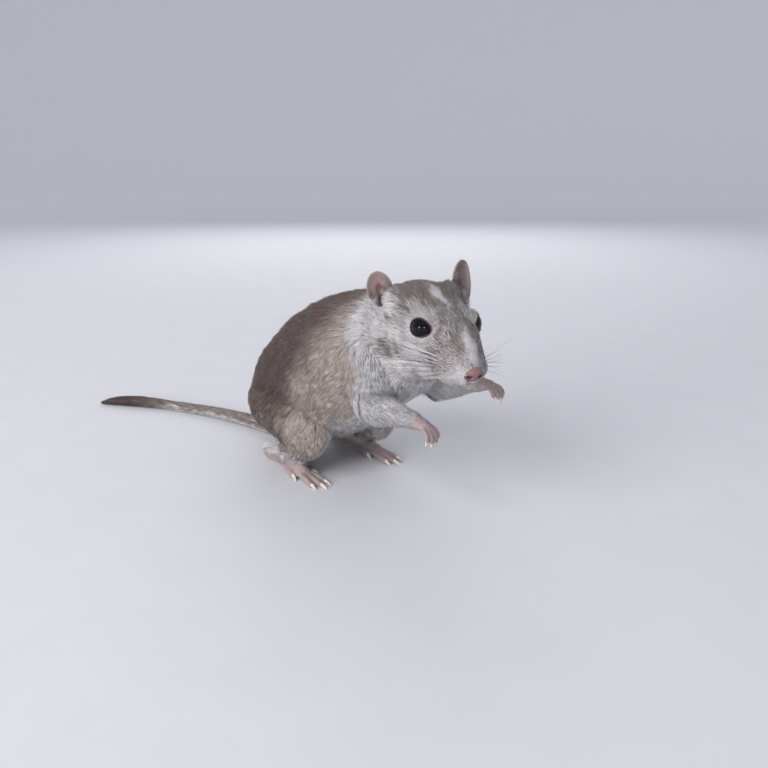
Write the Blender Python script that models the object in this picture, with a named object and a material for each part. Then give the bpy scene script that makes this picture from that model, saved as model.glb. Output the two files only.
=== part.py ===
"""A sitting Mongolian gerbil, life size, as one still model parted into its named body parts.

The animal is modelled in millimetres: +X is the way its body points, +Y is its left and the floor is Z = 0.
Soft lumps and lofts are fused and smoothed into one body, which is then parted by thin cuts.
The last step turns millimetres into metres and centres the model over the origin.
"""

import math

import bmesh
import bpy
import numpy as np
from mathutils import Matrix, Vector
from mathutils.bvhtree import BVHTree

# Driving sizes, in millimetres
GAP = 0.3  # left between two parts that meet
HEAD_AT = Vector((60.7, 0.4, 57.3))  # halfway between the two eyes
HEAD_YAW = -18.5  # degrees, to the animal's right
HEAD_PITCH = 18.0  # degrees, nose down
EYE_RADIUS = 3.6
EYE_AT = Vector((0.8, 6.7, 0.0))  # left eye, from HEAD_AT
EYE_AXIS = Vector((0.50, 0.83, 0.16)).normalized()  # where the left eye looks
LID_RADIUS = 4.55
LID_SET_BACK = 0.5
APERTURE = (3.4, 2.6)  # half width and half height of the opening between the lids
EAR_ROOT = Vector((-12.4, 10.9, -4.4))  # left ear, from HEAD_AT
EAR_TIP = Vector((-20.4, 14.6, 8.0))
EAR_OPENS = Vector((0.82, 0.56, 0.14))  # where the cup of the left ear faces
EAR_TURN = {1: 20.0, -1: 0.0}  # degrees each ear is turned forward: left, right
EAR_RISE = {1: 0.8, -1: -1.5}  # how much higher the tip of each ear is held
EAR_HALF_WIDTH = 4.2
EAR_WIDEST = 0.55  # share of the way from root to tip
EAR_THICK = 0.8
LIP_GROOVE = 0.32  # radius of the line of the mouth
VOXEL = 0.4
SMOOTHING = 14  # passes over the whole body
FUR_SMOOTHING = 70  # more passes where the coat is deep
BODY_TRIANGLES = 1700  # on the furred body
DETAIL_TRIANGLES = 3300  # on the face, the forearms and the feet
CREASE = 40.0  # degrees, the least angle that is left sharp

# Trunk from rump to neck: x, z, half width, half height
TRUNK = (
    (-26.0, 14.5, 4.0, 5.0),
    (-22.0, 17.6, 12.5, 13.2),
    (-12.0, 22.4, 17.6, 19.0),
    (1.0, 28.4, 19.6, 22.0),
    (14.5, 35.8, 19.8, 22.2),
    (27.0, 42.0, 18.4, 20.5),
    (37.0, 46.2, 16.6, 18.0),
    (45.0, 49.4, 14.8, 15.8),
    (52.0, 51.6, 11.6, 12.6),
)

# Head from nape to nose tip, from HEAD_AT: x, z, half width, half height
SKULL = (
    (-30.0, -15.5, 8.6, 7.6),
    (-24.0, -10.0, 10.6, 9.4),
    (-17.0, -5.6, 11.8, 10.0),
    (-10.0, -4.2, 12.0, 9.6),
    (-3.0, -4.1, 10.8, 9.7),
    (3.0, -4.1, 9.4, 9.3),
    (8.0, -4.6, 8.0, 8.0),
    (12.0, -5.0, 6.9, 6.6),
    (15.5, -5.6, 5.5, 5.0),
    (17.5, -6.0, 3.6, 3.7),
    (18.6, -6.1, 1.9, 2.0),
)

# Lumps on the left half of the head: place from HEAD_AT, radii
FACE_LUMPS = (
    ((-5.6, 6.4, -6.4), (11.0, 5.8, 7.0)),  # cheek
    ((0.4, 5.0, -1.2), (7.4, 4.4, 5.0)),  # around the eye
    ((11.6, 4.0, -6.4), (5.2, 3.8, 3.7)),  # whisker pad
    ((8.6, 1.6, -10.2), (5.4, 3.4, 2.7)),  # lower lip and chin
    ((-14.2, 7.4, -1.6), (7.4, 5.4, 6.8)),  # root of the ear
    ((-2.6, 4.4, -10.8), (11.0, 5.6, 5.6)),  # jowl, down to the throat
)
# Place from HEAD_AT, radii
NOSE_PAD = ((18.3, 0.0, -4.1), (1.4, 2.8, 1.9))
NOSTRIL = ((20.0, 1.3, -4.6), (0.8, 0.5, 0.5))
# Left half of the line of the mouth, from the nose down and back
LIPS = ((19.4, 0.0, -6.6), (18.4, 0.2, -8.2), (17.0, 2.2, -9.2), (14.2, 4.0, -9.9), (10.5, 5.2, -9.6))

# Legs on the left, as joint places and radii: x, y, z, radius
HIND_LEG = ((-8.5, 10.0, 21.0, 12.0), (6.0, 12.5, 18.5, 10.5), (15.5, 13.8, 15.0, 7.0))
SHANK = ((16.0, 14.2, 11.0, 4.6), (4.0, 14.4, 7.0, 4.0), (-7.0, 14.4, 4.2, 3.2))
FOOT = ((-9.5, 14.4, 2.6, 2.9), (-2.0, 14.4, 2.3, 2.6), (8.0, 15.0, 2.0, 2.5), (12.5, 15.4, 1.7, 2.3))
SHOULDER = (40.5, 9.2, 45.5, 8.8)
RIGHT_ARM = (SHOULDER, (45.0, 12.8, 33.2, 6.4), (53.0, 11.8, 32.2, 4.5), (60.5, 10.6, 31.8, 2.6))
LEFT_ARM = (SHOULDER, (45.0, 12.8, 34.6, 6.0), (53.0, 13.8, 35.6, 4.2), (60.5, 14.6, 37.6, 2.6))
# Fingers: place across the paw, length, turn in degrees
FINGERS = ((-1.8, 3.4, -14), (-0.65, 4.3, -4), (0.65, 4.3, 5), (1.8, 3.4, 15))
# Toes on the left: x, y, length, turn in degrees
TOES = ((7.5, 12.7, 5.0, -14), (13.2, 13.6, 7.6, -6), (14.0, 15.3, 8.4, 0), (13.2, 17.0, 7.6, 7), (6.0, 17.4, 5.2, 14))
TAIL = (
    (-10.0, -0.5, 10.0, 5.0),
    (-19.0, -1.0, 6.2, 4.4),
    (-29.0, -2.0, 3.2, 3.4),
    (-45.0, -5.0, 2.4, 2.8),
    (-62.0, -10.5, 2.1, 2.5),
    (-78.0, -18.0, 1.9, 2.3),
    (-92.0, -27.0, 2.2, 2.6),
    (-101.0, -34.5, 1.6, 2.0),
    (-105.0, -38.5, 0.7, 0.9),
)

# Where the body is parted, on the left: a box low and high, and a ball place and radii
FOOT_BOX = ((-18.0, 9.0, -1.0), (40.0, 24.0, 5.0))
THIGH_BALL = ((2.5, 16.0, 17.0), (21.5, 9.5, 16.0))
PAW_BOX = (18.0, 6.5, 9.0, 4.5)  # ahead of the wrist: length, half width, below, above
FOREARM_RADII = (8.2, 4.4)  # of the cut round the forearm, at the elbow and at the wrist
FOREARM_REACH = (1.0, 19.0)  # behind and ahead of the elbow
# Planes across the body: a point and the way to the part in front
TAIL_TIP_PLANE = ((-80.0, -19.0, 2.0), (-0.85, -0.5, 0.0))
TAIL_MIDDLE_PLANE = ((-48.0, -6.0, 2.0), (-0.95, -0.3, 0.0))
HEAD_PLANE = ((45.5, 0.0, 54.5), (0.82, -0.12, 0.57))
NECK_PLANE = ((34.0, 0.0, 49.0), (0.85, 0.0, 0.53))
TORSO_PLANE = ((8.0, 0.0, 30.0), (0.87, 0.0, 0.5))


def clear_scene():
    for obj in list(bpy.data.objects):
        bpy.data.objects.remove(obj)


def link(name, mesh):
    obj = bpy.data.objects.new(name, mesh)
    bpy.context.scene.collection.objects.link(obj)
    return obj


def mesh_from(bm, name="lump"):
    bmesh.ops.recalc_face_normals(bm, faces=bm.faces)
    if len(bm.faces) > 0 and bm.calc_volume(signed=True) < 0:
        bmesh.ops.reverse_faces(bm, faces=bm.faces)
    mesh = bpy.data.meshes.new(name)
    bm.to_mesh(mesh)
    bm.free()
    return mesh


def smooth_path(points, steps):
    """Points on a smooth curve through the given ones, with some steps between neighbours."""
    points = np.array(points, float)
    padded = np.vstack([2 * points[0] - points[1], points, 2 * points[-1] - points[-2]])
    path = []
    for i in range(len(points) - 1):
        p0, p1, p2, p3 = padded[i : i + 4]
        for t in np.arange(steps) / steps:
            path.append(
                p1
                + 0.5 * t * (p2 - p0)
                + t * t * (p0 - 2.5 * p1 + 2 * p2 - 0.5 * p3)
                + 0.5 * t**3 * (3 * (p1 - p2) + p3 - p0)
            )
    path.append(points[-1])
    return np.array(path)


def loft(stations, sides=24, steps=4, up=(0, 0, 1), place=None):
    """A closed tube through stations of x, y, z, half width and half height."""
    path = smooth_path(stations, steps) if steps > 1 else np.array(stations, float)
    tangents = np.gradient(path[:, :3], axis=0)
    bm = bmesh.new()
    rings = []
    for station, tangent in zip(path, tangents):
        tangent = Vector(tangent).normalized()
        side = Vector(up).cross(tangent).normalized()
        top = tangent.cross(side)
        ring = []
        for k in range(sides):
            angle = 2 * math.pi * k / sides
            across = side * (station[3] * math.cos(angle))
            ring.append(bm.verts.new(Vector(station[:3]) + across + top * (station[4] * math.sin(angle))))
        rings.append(ring)
    for first, second in zip(rings, rings[1:]):
        for k in range(sides):
            bm.faces.new((first[k], first[(k + 1) % sides], second[(k + 1) % sides], second[k]))
    bm.faces.new(rings[0])
    bm.faces.new(reversed(rings[-1]))
    bmesh.ops.transform(bm, matrix=place or Matrix(), verts=bm.verts)
    return mesh_from(bm)


def tube(points, sides=16, steps=4, up=(0, 0, 1), place=None, grow=0.0, dome=(0.45, 0.8, 0.97)):
    """A closed round tube through points of x, y, z and radius, with domed ends."""
    path = smooth_path(points, steps)
    path[:, 3] += grow
    caps = []
    for end, inner in ((path[0], path[1]), (path[-1], path[-2])):
        away = (end[:3] - inner[:3]) / np.linalg.norm(end[:3] - inner[:3])
        caps.append([[*(end[:3] + away * end[3] * share), end[3] * math.sqrt(1 - share**2)] for share in dome])
    path = np.vstack([caps[0][::-1], path, caps[1]])
    return loft(np.column_stack([path, path[:, 3]]), sides, 1, up, place)


def ball(centre, radii, place=None, segments=24, rings=16):
    bm = bmesh.new()
    bmesh.ops.create_uvsphere(bm, u_segments=segments, v_segments=rings, radius=1)
    matrix = Matrix.Translation(centre) @ Matrix.Diagonal((*radii, 1))
    bmesh.ops.transform(bm, matrix=(place or Matrix()) @ matrix, verts=bm.verts)
    return mesh_from(bm)


def box(low, high, place=None):
    bm = bmesh.new()
    bmesh.ops.create_cube(bm, size=1)
    low, high = Vector(low), Vector(high)
    matrix = Matrix.Translation((low + high) / 2) @ Matrix.Diagonal((*(high - low), 1))
    bmesh.ops.transform(bm, matrix=(place or Matrix()) @ matrix, verts=bm.verts)
    return mesh_from(bm)


def mirrored(vector, side):
    """The same place on the left (side 1) or the right (side -1)."""
    return Vector((vector[0], vector[1] * side, vector[2]))


def mirrored_path(points, side):
    return [(x, y * side, *rest) for x, y, *rest in points]


def joined(meshes, name):
    bm = bmesh.new()
    for mesh in meshes:
        bm.from_mesh(mesh)
        bpy.data.meshes.remove(mesh)
    return link(name, mesh_from(bm, name))


def apply_modifiers(obj):
    graph = bpy.context.evaluated_depsgraph_get()
    mesh = bpy.data.meshes.new_from_object(obj.evaluated_get(graph))
    obj.modifiers.clear()
    obj.data = mesh
    return obj


def count_triangles(obj):
    return sum(len(face.vertices) - 2 for face in obj.data.polygons)


def reduced(obj, triangles, kept):
    """Fewer triangles, taken only from where kept(point) is false."""
    group = obj.vertex_groups.new(name="spare")
    for vertex in obj.data.vertices:
        if not kept(vertex.co):
            group.add([vertex.index], 1.0, "REPLACE")
    decimate = obj.modifiers.new("reduce", "DECIMATE")
    decimate.ratio = triangles / count_triangles(obj)
    decimate.vertex_group = group.name
    apply_modifiers(obj)
    obj.vertex_groups.clear()
    return obj


def fused(obj):
    """Overlapping lumps become one smooth closed skin, finest on the head and the feet."""
    remesh = obj.modifiers.new("fuse", "REMESH")
    remesh.mode = "VOXEL"
    remesh.voxel_size = VOXEL
    apply_modifiers(obj)
    deep = obj.vertex_groups.new(name="deep")
    for vertex in obj.data.vertices:
        weight = coat_depth(vertex.co)
        if weight > 0:
            deep.add([vertex.index], weight, "REPLACE")
    for passes, group in ((SMOOTHING, ""), (FUR_SMOOTHING, "deep")):
        smooth = obj.modifiers.new("smooth", "SMOOTH")
        smooth.factor = 0.5
        smooth.iterations = passes
        smooth.vertex_group = group
    apply_modifiers(obj)
    obj.vertex_groups.clear()
    fine = sum(len(face.vertices) - 2 for face in obj.data.polygons if in_detail(face.center))
    reduced(obj, fine + BODY_TRIANGLES, in_detail)
    return reduced(obj, DETAIL_TRIANGLES + BODY_TRIANGLES, lambda point: not in_detail(point))


def largest_piece(obj):
    """Keeps only the closed surface with the most volume."""
    bm = bmesh.new()
    bm.from_mesh(obj.data)
    bmesh.ops.remove_doubles(bm, verts=bm.verts, dist=1e-4)
    bmesh.ops.dissolve_degenerate(bm, edges=bm.edges, dist=1e-4)
    seen = set()
    pieces = []
    for start in bm.faces:
        if start in seen:
            continue
        seen.add(start)
        piece = [start]
        for face in piece:
            for edge in face.edges:
                for other in edge.link_faces:
                    if other not in seen:
                        seen.add(other)
                        piece.append(other)
        pieces.append(piece)

    def volume(piece):
        total = 0.0
        for face in piece:
            corners = [vert.co for vert in face.verts]
            for second, third in zip(corners[1:], corners[2:]):
                total += corners[0].dot(second.cross(third)) / 6
        return total

    pieces.sort(key=volume)
    for piece in pieces[:-1]:
        bmesh.ops.delete(bm, geom=piece, context="FACES")
    loose = [vert for vert in bm.verts if not vert.link_faces]
    bmesh.ops.delete(bm, geom=loose, context="VERTS")
    bmesh.ops.triangulate(bm, faces=bm.faces)
    bm.to_mesh(obj.data)
    bm.free()
    return obj


def boolean(obj, mesh, operation):
    """Adds, removes or keeps the volume of a mesh, then drops the mesh."""
    cutter = link("cutter", mesh)
    modifier = obj.modifiers.new("cut", "BOOLEAN")
    modifier.object = cutter
    modifier.operation = operation
    modifier.solver = "EXACT"
    apply_modifiers(obj)
    bpy.data.objects.remove(cutter)
    return obj


def part_off(body, name, region):
    """Takes region(0) of the body as a new part and clears region(GAP) from the body."""
    part = link(name, body.data.copy())
    boolean(part, region(0.0), "INTERSECT")
    boolean(body, region(GAP), "DIFFERENCE")
    largest_piece(body)
    largest_piece(part)
    return part


def facing(point, direction):
    """A frame at a point with its X along a direction."""
    return Matrix.Translation(point) @ Vector(direction).to_track_quat("X", "Z").to_matrix().to_4x4()


def half_space(point, normal):
    """A region in front of a plane, as a big box."""
    place = facing(point, normal)
    return lambda grow: box((-grow, -150, -150), (300, 150, 150), place)


def head_matrix():
    return (
        Matrix.Translation(HEAD_AT)
        @ Matrix.Rotation(math.radians(HEAD_YAW), 4, "Z")
        @ Matrix.Rotation(math.radians(HEAD_PITCH), 4, "Y")
    )


def in_detail(point):
    """True on the head, the forearms and the feet."""
    local = head_matrix().inverted() @ Vector(point)
    face = local.x > -15 and local.z > -14
    forearm = point.x > 50 and point.z < 42
    foot = point.z < 6 and point.x > -15
    return face or forearm or foot


def fade(value, none, full):
    return min(max((value - none) / (full - none), 0.0), 1.0)


def coat_depth(point):
    """How deep the coat is, from 0 on the face, paws and tail to 1 on the body."""
    local = head_matrix().inverted() @ Vector(point)
    face = fade(local.x, -9, -2) * fade(local.z, -20, -15)
    paw = fade(point.x, 50, 57) * (1 - fade(point.z, 40, 42))
    foot = 1 - fade(point.z, 4, 9)
    tail = 1 - fade(point.x, -32, -26)
    return (1 - face) * (1 - paw) * (1 - foot) * (1 - tail)


def soft_lumps():
    """Every soft form of the body, overlapping."""
    head = head_matrix()
    lumps = [
        loft([(x, 0, z, w, h) for x, z, w, h in TRUNK]),
        loft([(x, 0, z, w, h) for x, z, w, h in SKULL], place=head),
        ball(*NOSE_PAD, place=head),
        tube(TAIL),
    ]
    for side in (1, -1):
        lumps += [ball(mirrored(at, side), radii, head) for at, radii in FACE_LUMPS]
        lid_at = mirrored(EYE_AT - EYE_AXIS * LID_SET_BACK, side)
        lumps.append(ball(lid_at, (LID_RADIUS,) * 3, head))
        for leg in (HIND_LEG, SHANK, FOOT):
            lumps.append(tube(mirrored_path(leg, side)))
        lumps.append(tube(arm_path(side)))
        lumps += forepaw_lumps(side)
    return lumps


def arm_path(side):
    return mirrored_path(LEFT_ARM if side == 1 else RIGHT_ARM, side)


def arm_end(side):
    """The wrist and the direction of the forearm."""
    arm = arm_path(side)
    wrist = Vector(arm[-1][:3])
    along = (wrist - Vector(arm[-2][:3])).normalized()
    return wrist, along


def paw_matrix(side):
    """A frame at the wrist: X along the paw, Y to its left and Z over its back."""
    wrist, along = arm_end(side)
    along = (along + Vector((0.3, 0, -0.12))).normalized()
    left = Vector((0, 0, 1)).cross(along).normalized()
    frame = Matrix((along, left, along.cross(left))).transposed().to_4x4()
    return Matrix.Translation(wrist) @ frame


def forepaw_lumps(side):
    return [ball((2.6, 0, -0.2), (3.4, 2.6, 1.8), paw_matrix(side))]


def digit(base, length, turn, droop, radius, place=None):
    """One toe or finger with its claw."""
    turn, droop = math.radians(turn), math.radians(droop)
    ahead = Vector((math.cos(turn), math.sin(turn), 0))
    points = [(*(Vector(base) - ahead * 1.6), radius)]
    spot = Vector(base)
    bend = 0.0
    for share in (0.0, 0.35, 0.35, 0.3):
        way = ahead * math.cos(bend) - Vector((0, 0, math.sin(bend)))
        spot = spot + way * (length * share)
        points.append((*spot, radius))
        bend += droop
    way = ahead * math.cos(bend) - Vector((0, 0, math.sin(bend)))
    lift = Vector((0, 0, radius * 0.25))
    claw_end = spot + way * radius * 2.9
    claw = [(*(spot + lift), radius * 0.5), (*((spot + claw_end) / 2 + lift), radius * 0.42)]
    claw.append((*claw_end, radius * 0.12))
    return [tube(points, 6, 1, place=place, dome=(0.8,)), tube(claw, 5, 1, place=place, dome=(0.7,))]


def add_digits(body):
    for side in (1, -1):
        for y, length, turn in FINGERS:
            for mesh in digit((5.0, y, -0.4), length, turn, 24, 0.75, paw_matrix(side)):
                boolean(body, mesh, "UNION")
        for x, y, length, turn in TOES:
            for mesh in digit((x, y * side, 1.35), length, turn * side, 4, 1.2):
                boolean(body, mesh, "UNION")


def on_surface(body, points):
    """Each point moved to the nearest place on the body."""
    tree = BVHTree.FromObject(body, bpy.context.evaluated_depsgraph_get())
    return [tree.find_nearest(point)[0] for point in points]


def eye_frame(side):
    """Where the eye is, where it looks, and its own up, in the design frame."""
    head = head_matrix()
    turn = head.to_3x3()
    axis = mirrored(EYE_AXIS, side)
    up = Vector((-0.3, 0, 1))
    up = (up - axis * up.dot(axis)).normalized()
    return head @ mirrored(EYE_AT, side), turn @ axis, turn @ up


def eye_ball(side, grow=0.0):
    return ball(eye_frame(side)[0], (EYE_RADIUS + grow,) * 3, segments=16, rings=10)


def carve_face(body):
    """Sockets and lids, nostrils, the line of the mouth and the hollows of the ears."""
    head = head_matrix()
    for side in (1, -1):
        at, axis, up = eye_frame(side)
        boolean(body, eye_ball(side, GAP), "DIFFERENCE")
        width, height = APERTURE
        front = at + axis * EYE_RADIUS * 2.5
        cone = [(*at, width * 0.9, height * 0.9), (*front, width * 1.3, height * 1.3)]
        boolean(body, loft(cone, 24, 1, up), "DIFFERENCE")
        nostril = on_surface(body, [head @ mirrored(NOSTRIL[0], side)])[0]
        place = Matrix.Translation(nostril) @ head.to_3x3().to_4x4() @ Matrix.Rotation(side * 0.5, 4, "Z")
        boolean(body, ball((0, 0, 0), NOSTRIL[1], place, 12, 8), "DIFFERENCE")
        lips = on_surface(body, [head @ mirrored(point, side) for point in LIPS])
        boolean(body, tube([(*point, LIP_GROOVE) for point in lips], 8, 3, up=(0, 0.1, 1)), "DIFFERENCE")
        boolean(body, ear_hollow(side), "DIFFERENCE")
    largest_piece(body)


def ear_sheet(side, rows=11, columns=8):
    """The pinna as a cupped sheet, rolled nearly shut at its root and opening out to a round top."""
    root, tip, opens = (mirrored(v, side) for v in (EAR_ROOT, EAR_TIP, EAR_OPENS))
    tip.z += EAR_RISE[side]
    opens = Matrix.Rotation(math.radians(-side * EAR_TURN[side]), 3, "Z") @ opens
    axis = (tip - root).normalized()
    length = (tip - root).length
    opens = (opens - axis * opens.dot(axis)).normalized()
    across = axis.cross(opens)
    bm = bmesh.new()
    grid = []
    for i in range(rows):
        # s runs from 0 at the root to 1 at the tip, widest at EAR_WIDEST
        if i < 5:
            s = EAR_WIDEST * i / 4
            width = 0.35 + 0.65 * math.sin(math.pi / 2 * i / 4)
        else:
            turn = math.radians(82) * (i - 4) / (rows - 5)
            s = EAR_WIDEST + (1 - EAR_WIDEST) * math.sin(turn)
            width = math.cos(turn)
        width *= EAR_HALF_WIDTH
        curl = math.radians(84 - 46 * s)
        centre = root + axis * (length * s) - opens * (0.9 * s * s)
        row = []
        for j in range(columns):
            turn = curl * (2 * j / (columns - 1) - 1)
            back = width * (math.cos(turn) - math.cos(curl)) / math.sin(curl)
            point = centre + across * (width * math.sin(turn) / math.sin(curl)) - opens * back
            row.append(bm.verts.new(point))
        grid.append(row)
    for first, second in zip(grid, grid[1:]):
        for j in range(columns - 1):
            bm.faces.new((first[j], first[j + 1], second[j + 1], second[j]))
    bmesh.ops.transform(bm, matrix=head_matrix(), verts=bm.verts)
    return mesh_from(bm)


def ear_hollow(side):
    """The way into the ear, down inside the cup."""
    points = []
    for share, radius in ((0.1, 1.5), (0.25, 2.2), (0.45, 2.5)):
        spot = EAR_ROOT + (EAR_TIP - EAR_ROOT) * share - EAR_OPENS * 0.5
        points.append((*mirrored(spot, side), radius))
    return tube(points, 10, 1, up=(1, 0, 0), place=head_matrix(), dome=(0.5, 0.9))


def make_ear(name, side, body):
    ear = link(name, ear_sheet(side))
    solidify = ear.modifiers.new("thickness", "SOLIDIFY")
    solidify.thickness = EAR_THICK
    solidify.offset = 0
    apply_modifiers(ear)
    grown = link("grown", body.data.copy())
    displace = grown.modifiers.new("grow", "DISPLACE")
    displace.strength = GAP
    displace.mid_level = 0
    apply_modifiers(grown)
    boolean(ear, grown.data.copy(), "DIFFERENCE")
    bpy.data.objects.remove(grown)
    return largest_piece(ear)


def foot_region(side):
    low, high = (mirrored(corner, side) for corner in FOOT_BOX)

    def region(grow):
        inner, outer = sorted((low.y - grow * side, high.y))
        return box((low.x, inner, low.z), (high.x, outer, high.z + grow))

    return region


def thigh_region(side):
    at, radii = THIGH_BALL
    return lambda grow: ball(mirrored(at, side), [radius + grow for radius in radii], segments=18, rings=12)


def forepaw_region(side):
    place = facing(*arm_end(side))
    length, half_width, below, above = PAW_BOX
    return lambda grow: box((-grow, -half_width, -below), (length, half_width, above), place)


def forearm_region(side):
    elbow, middle = (Vector(point[:3]) for point in arm_path(side)[1:3])
    ahead = (middle - elbow).normalized()
    behind, reach = FOREARM_REACH

    def region(grow):
        wide, narrow = (radius + grow for radius in FOREARM_RADII)
        start, end = elbow - ahead * (behind + grow), elbow + ahead * reach
        return loft([(*start, wide, wide), (*end, narrow, narrow)], 14, 1)

    return region


def upper_arm_region(side):
    return lambda grow: tube(arm_path(side)[:2], 12, 1, grow=1 + grow)


def make_parts(body):
    """Cuts the body into its named parts and returns them all."""
    parts = []
    for side, word in ((1, "left"), (-1, "right")):
        parts.append(part_off(body, f"hind_foot_{word}", foot_region(side)))
        parts.append(part_off(body, f"thigh_{word}", thigh_region(side)))
        parts.append(part_off(body, f"forepaw_{word}", forepaw_region(side)))
        parts.append(part_off(body, f"forearm_{word}", forearm_region(side)))
        parts.append(part_off(body, f"upper_arm_{word}", upper_arm_region(side)))
    tail = part_off(body, "tail_base", lambda grow: tube(TAIL[1:], 10, 1, grow=1.5 + grow))
    parts.append(part_off(tail, "tail_tip", half_space(*TAIL_TIP_PLANE)))
    parts.append(part_off(tail, "tail_middle", half_space(*TAIL_MIDDLE_PLANE)))
    parts.append(tail)
    parts.append(part_off(body, "head", half_space(*HEAD_PLANE)))
    parts.append(part_off(body, "neck", half_space(*NECK_PLANE)))
    parts.append(part_off(body, "torso", half_space(*TORSO_PLANE)))
    body.name = "rump"
    parts.append(body)
    return parts


# Finish, the start of the part names that carry it, linear colour, roughness
FINISHES = (
    ("eye_gloss", "eye", (0.004, 0.004, 0.006), 0.06),
    ("ear_skin", "ear", (0.29, 0.2, 0.17), 0.75),
    ("paw_skin", "forepaw", (0.55, 0.42, 0.4), 0.7),
    ("foot_skin", "hind_foot", (0.55, 0.42, 0.4), 0.7),
    ("white_fur", "forearm", (0.58, 0.55, 0.56), 0.9),
    ("white_fur", "upper_arm", (0.58, 0.55, 0.56), 0.9),
    ("white_fur", "neck", (0.58, 0.55, 0.56), 0.9),
    ("brown_fur", "", (0.22, 0.15, 0.12), 0.9),
)


def finish(parts):
    for obj in parts:
        name, _, colour, roughness = next(row for row in FINISHES if obj.name.startswith(row[1]))
        material = bpy.data.materials.get(name) or bpy.data.materials.new(name)
        material.use_nodes = True
        shader = material.node_tree.nodes["Principled BSDF"]
        shader.inputs["Base Color"].default_value = (*colour, 1)
        shader.inputs["Roughness"].default_value = roughness
        shader.inputs["Metallic"].default_value = 0.0
        obj.data.materials.clear()
        obj.data.materials.append(material)
        obj.data.shade_smooth()
        obj.data.set_sharp_from_angle(angle=math.radians(CREASE))


def to_metres(parts):
    """Metres, with the origin at the middle of the foot of the whole model's box."""
    corners = np.array([vertex.co for obj in parts for vertex in obj.data.vertices])
    low, high = corners.min(axis=0), corners.max(axis=0)
    foot = Vector(((low[0] + high[0]) / 2, (low[1] + high[1]) / 2, low[2]))
    for obj in parts:
        obj.data.transform(Matrix.Scale(0.001, 4) @ Matrix.Translation(-foot))
        obj.data.update()
    print("sides in mm", (high - low).round(1), "origin moved by", [round(v, 2) for v in foot])


def main():
    clear_scene()
    body = fused(joined(soft_lumps(), "body"))
    add_digits(body)
    boolean(body, box((-200, -100, -20), (200, 100, 0)), "DIFFERENCE")
    ears = [make_ear(f"ear_{word}", side, body) for side, word in ((1, "left"), (-1, "right"))]
    carve_face(body)
    eyes = [link(f"eye_{word}", eye_ball(side)) for side, word in ((1, "left"), (-1, "right"))]
    parts = make_parts(body) + ears + eyes
    finish(parts)
    to_metres(parts)
    for obj in parts:
        print(obj.name, count_triangles(obj))


main()
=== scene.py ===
# %% [markdown]
# # A sitting gerbil
# This lesson dresses a life-size still model of a gerbil. The animal sits half upright on its long hind feet,
# with its head turned to its right and its forepaws held out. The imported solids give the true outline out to
# the tips of the coat. Here one seamless skin takes their place, and a coat of short tufts grows on it.

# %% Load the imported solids
import math
import time

import bmesh
import bpy
import numpy as np
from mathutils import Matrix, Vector, noise
from mathutils.bvhtree import BVHTree
from mathutils.kdtree import KDTree


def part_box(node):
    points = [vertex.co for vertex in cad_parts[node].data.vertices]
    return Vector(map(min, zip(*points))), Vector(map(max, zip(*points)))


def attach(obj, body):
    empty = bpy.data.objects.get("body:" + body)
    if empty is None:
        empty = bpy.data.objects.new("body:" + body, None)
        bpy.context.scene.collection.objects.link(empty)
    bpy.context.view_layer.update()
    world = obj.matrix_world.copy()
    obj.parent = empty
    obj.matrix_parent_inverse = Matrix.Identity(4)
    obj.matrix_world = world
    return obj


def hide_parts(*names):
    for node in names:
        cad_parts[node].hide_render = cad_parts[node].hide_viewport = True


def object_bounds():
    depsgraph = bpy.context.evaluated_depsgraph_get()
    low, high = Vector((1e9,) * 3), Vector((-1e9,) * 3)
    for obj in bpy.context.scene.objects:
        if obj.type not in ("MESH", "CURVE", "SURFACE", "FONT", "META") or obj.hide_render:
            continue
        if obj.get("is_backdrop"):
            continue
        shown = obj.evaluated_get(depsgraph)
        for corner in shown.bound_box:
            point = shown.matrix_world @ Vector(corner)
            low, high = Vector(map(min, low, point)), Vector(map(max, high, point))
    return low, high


began = time.time()
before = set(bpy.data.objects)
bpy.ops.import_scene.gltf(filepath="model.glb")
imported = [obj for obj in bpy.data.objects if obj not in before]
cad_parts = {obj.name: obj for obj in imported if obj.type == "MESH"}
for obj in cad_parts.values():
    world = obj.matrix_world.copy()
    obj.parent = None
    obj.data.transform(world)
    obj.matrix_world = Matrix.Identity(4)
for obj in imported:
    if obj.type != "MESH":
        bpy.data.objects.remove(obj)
box_at_load = [list(corner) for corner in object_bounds()]
MM = 0.001
rng = np.random.default_rng(7)


def report(words):
    print(f"{time.time() - began:6.1f} s  {words}")


report("nodes: " + ", ".join(sorted(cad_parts)))

# %% [markdown]
# ## Camera
# The photo looks down on the animal's right side from in front, about 17 degrees below level. The camera is
# placed from the near eye, because the eye is the sharpest landmark that the photo and the solids share.

# %% Place the camera from the near eye
CAMERA_FROM_EYE = Vector((148.1, -138.5, 45.95)) * MM
CAMERA_DOWN = math.radians(17.0)
CAMERA_LOOKS = Vector((-0.766, 0.643, -math.tan(CAMERA_DOWN))).normalized()
LENS_MM, SENSOR_MM = 36.0, 36.0  # a picture 53 degrees wide


def centre_of(node):
    low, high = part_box(node)
    return (low + high) / 2


camera = bpy.data.objects.new("camera", bpy.data.cameras.new("camera"))
bpy.context.scene.collection.objects.link(camera)
camera.data.lens = LENS_MM
camera.data.sensor_width = SENSOR_MM
camera.data.clip_start = 0.01
camera.location = centre_of("eye_right") + CAMERA_FROM_EYE
camera.rotation_euler = CAMERA_LOOKS.to_track_quat("-Z", "Y").to_euler()
bpy.context.scene.camera = camera
report(f"camera at {[round(v, 3) for v in camera.location]}")

# %% [markdown]
# ## Colours and nodes
# Colours are written as they look on a screen, in hex. A shader works in linear light, so one function turns
# them. One more small function adds a node, sets its values and makes its links, so a material reads as a list.
# The others stand for groups of nodes that come back in several materials.


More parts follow.
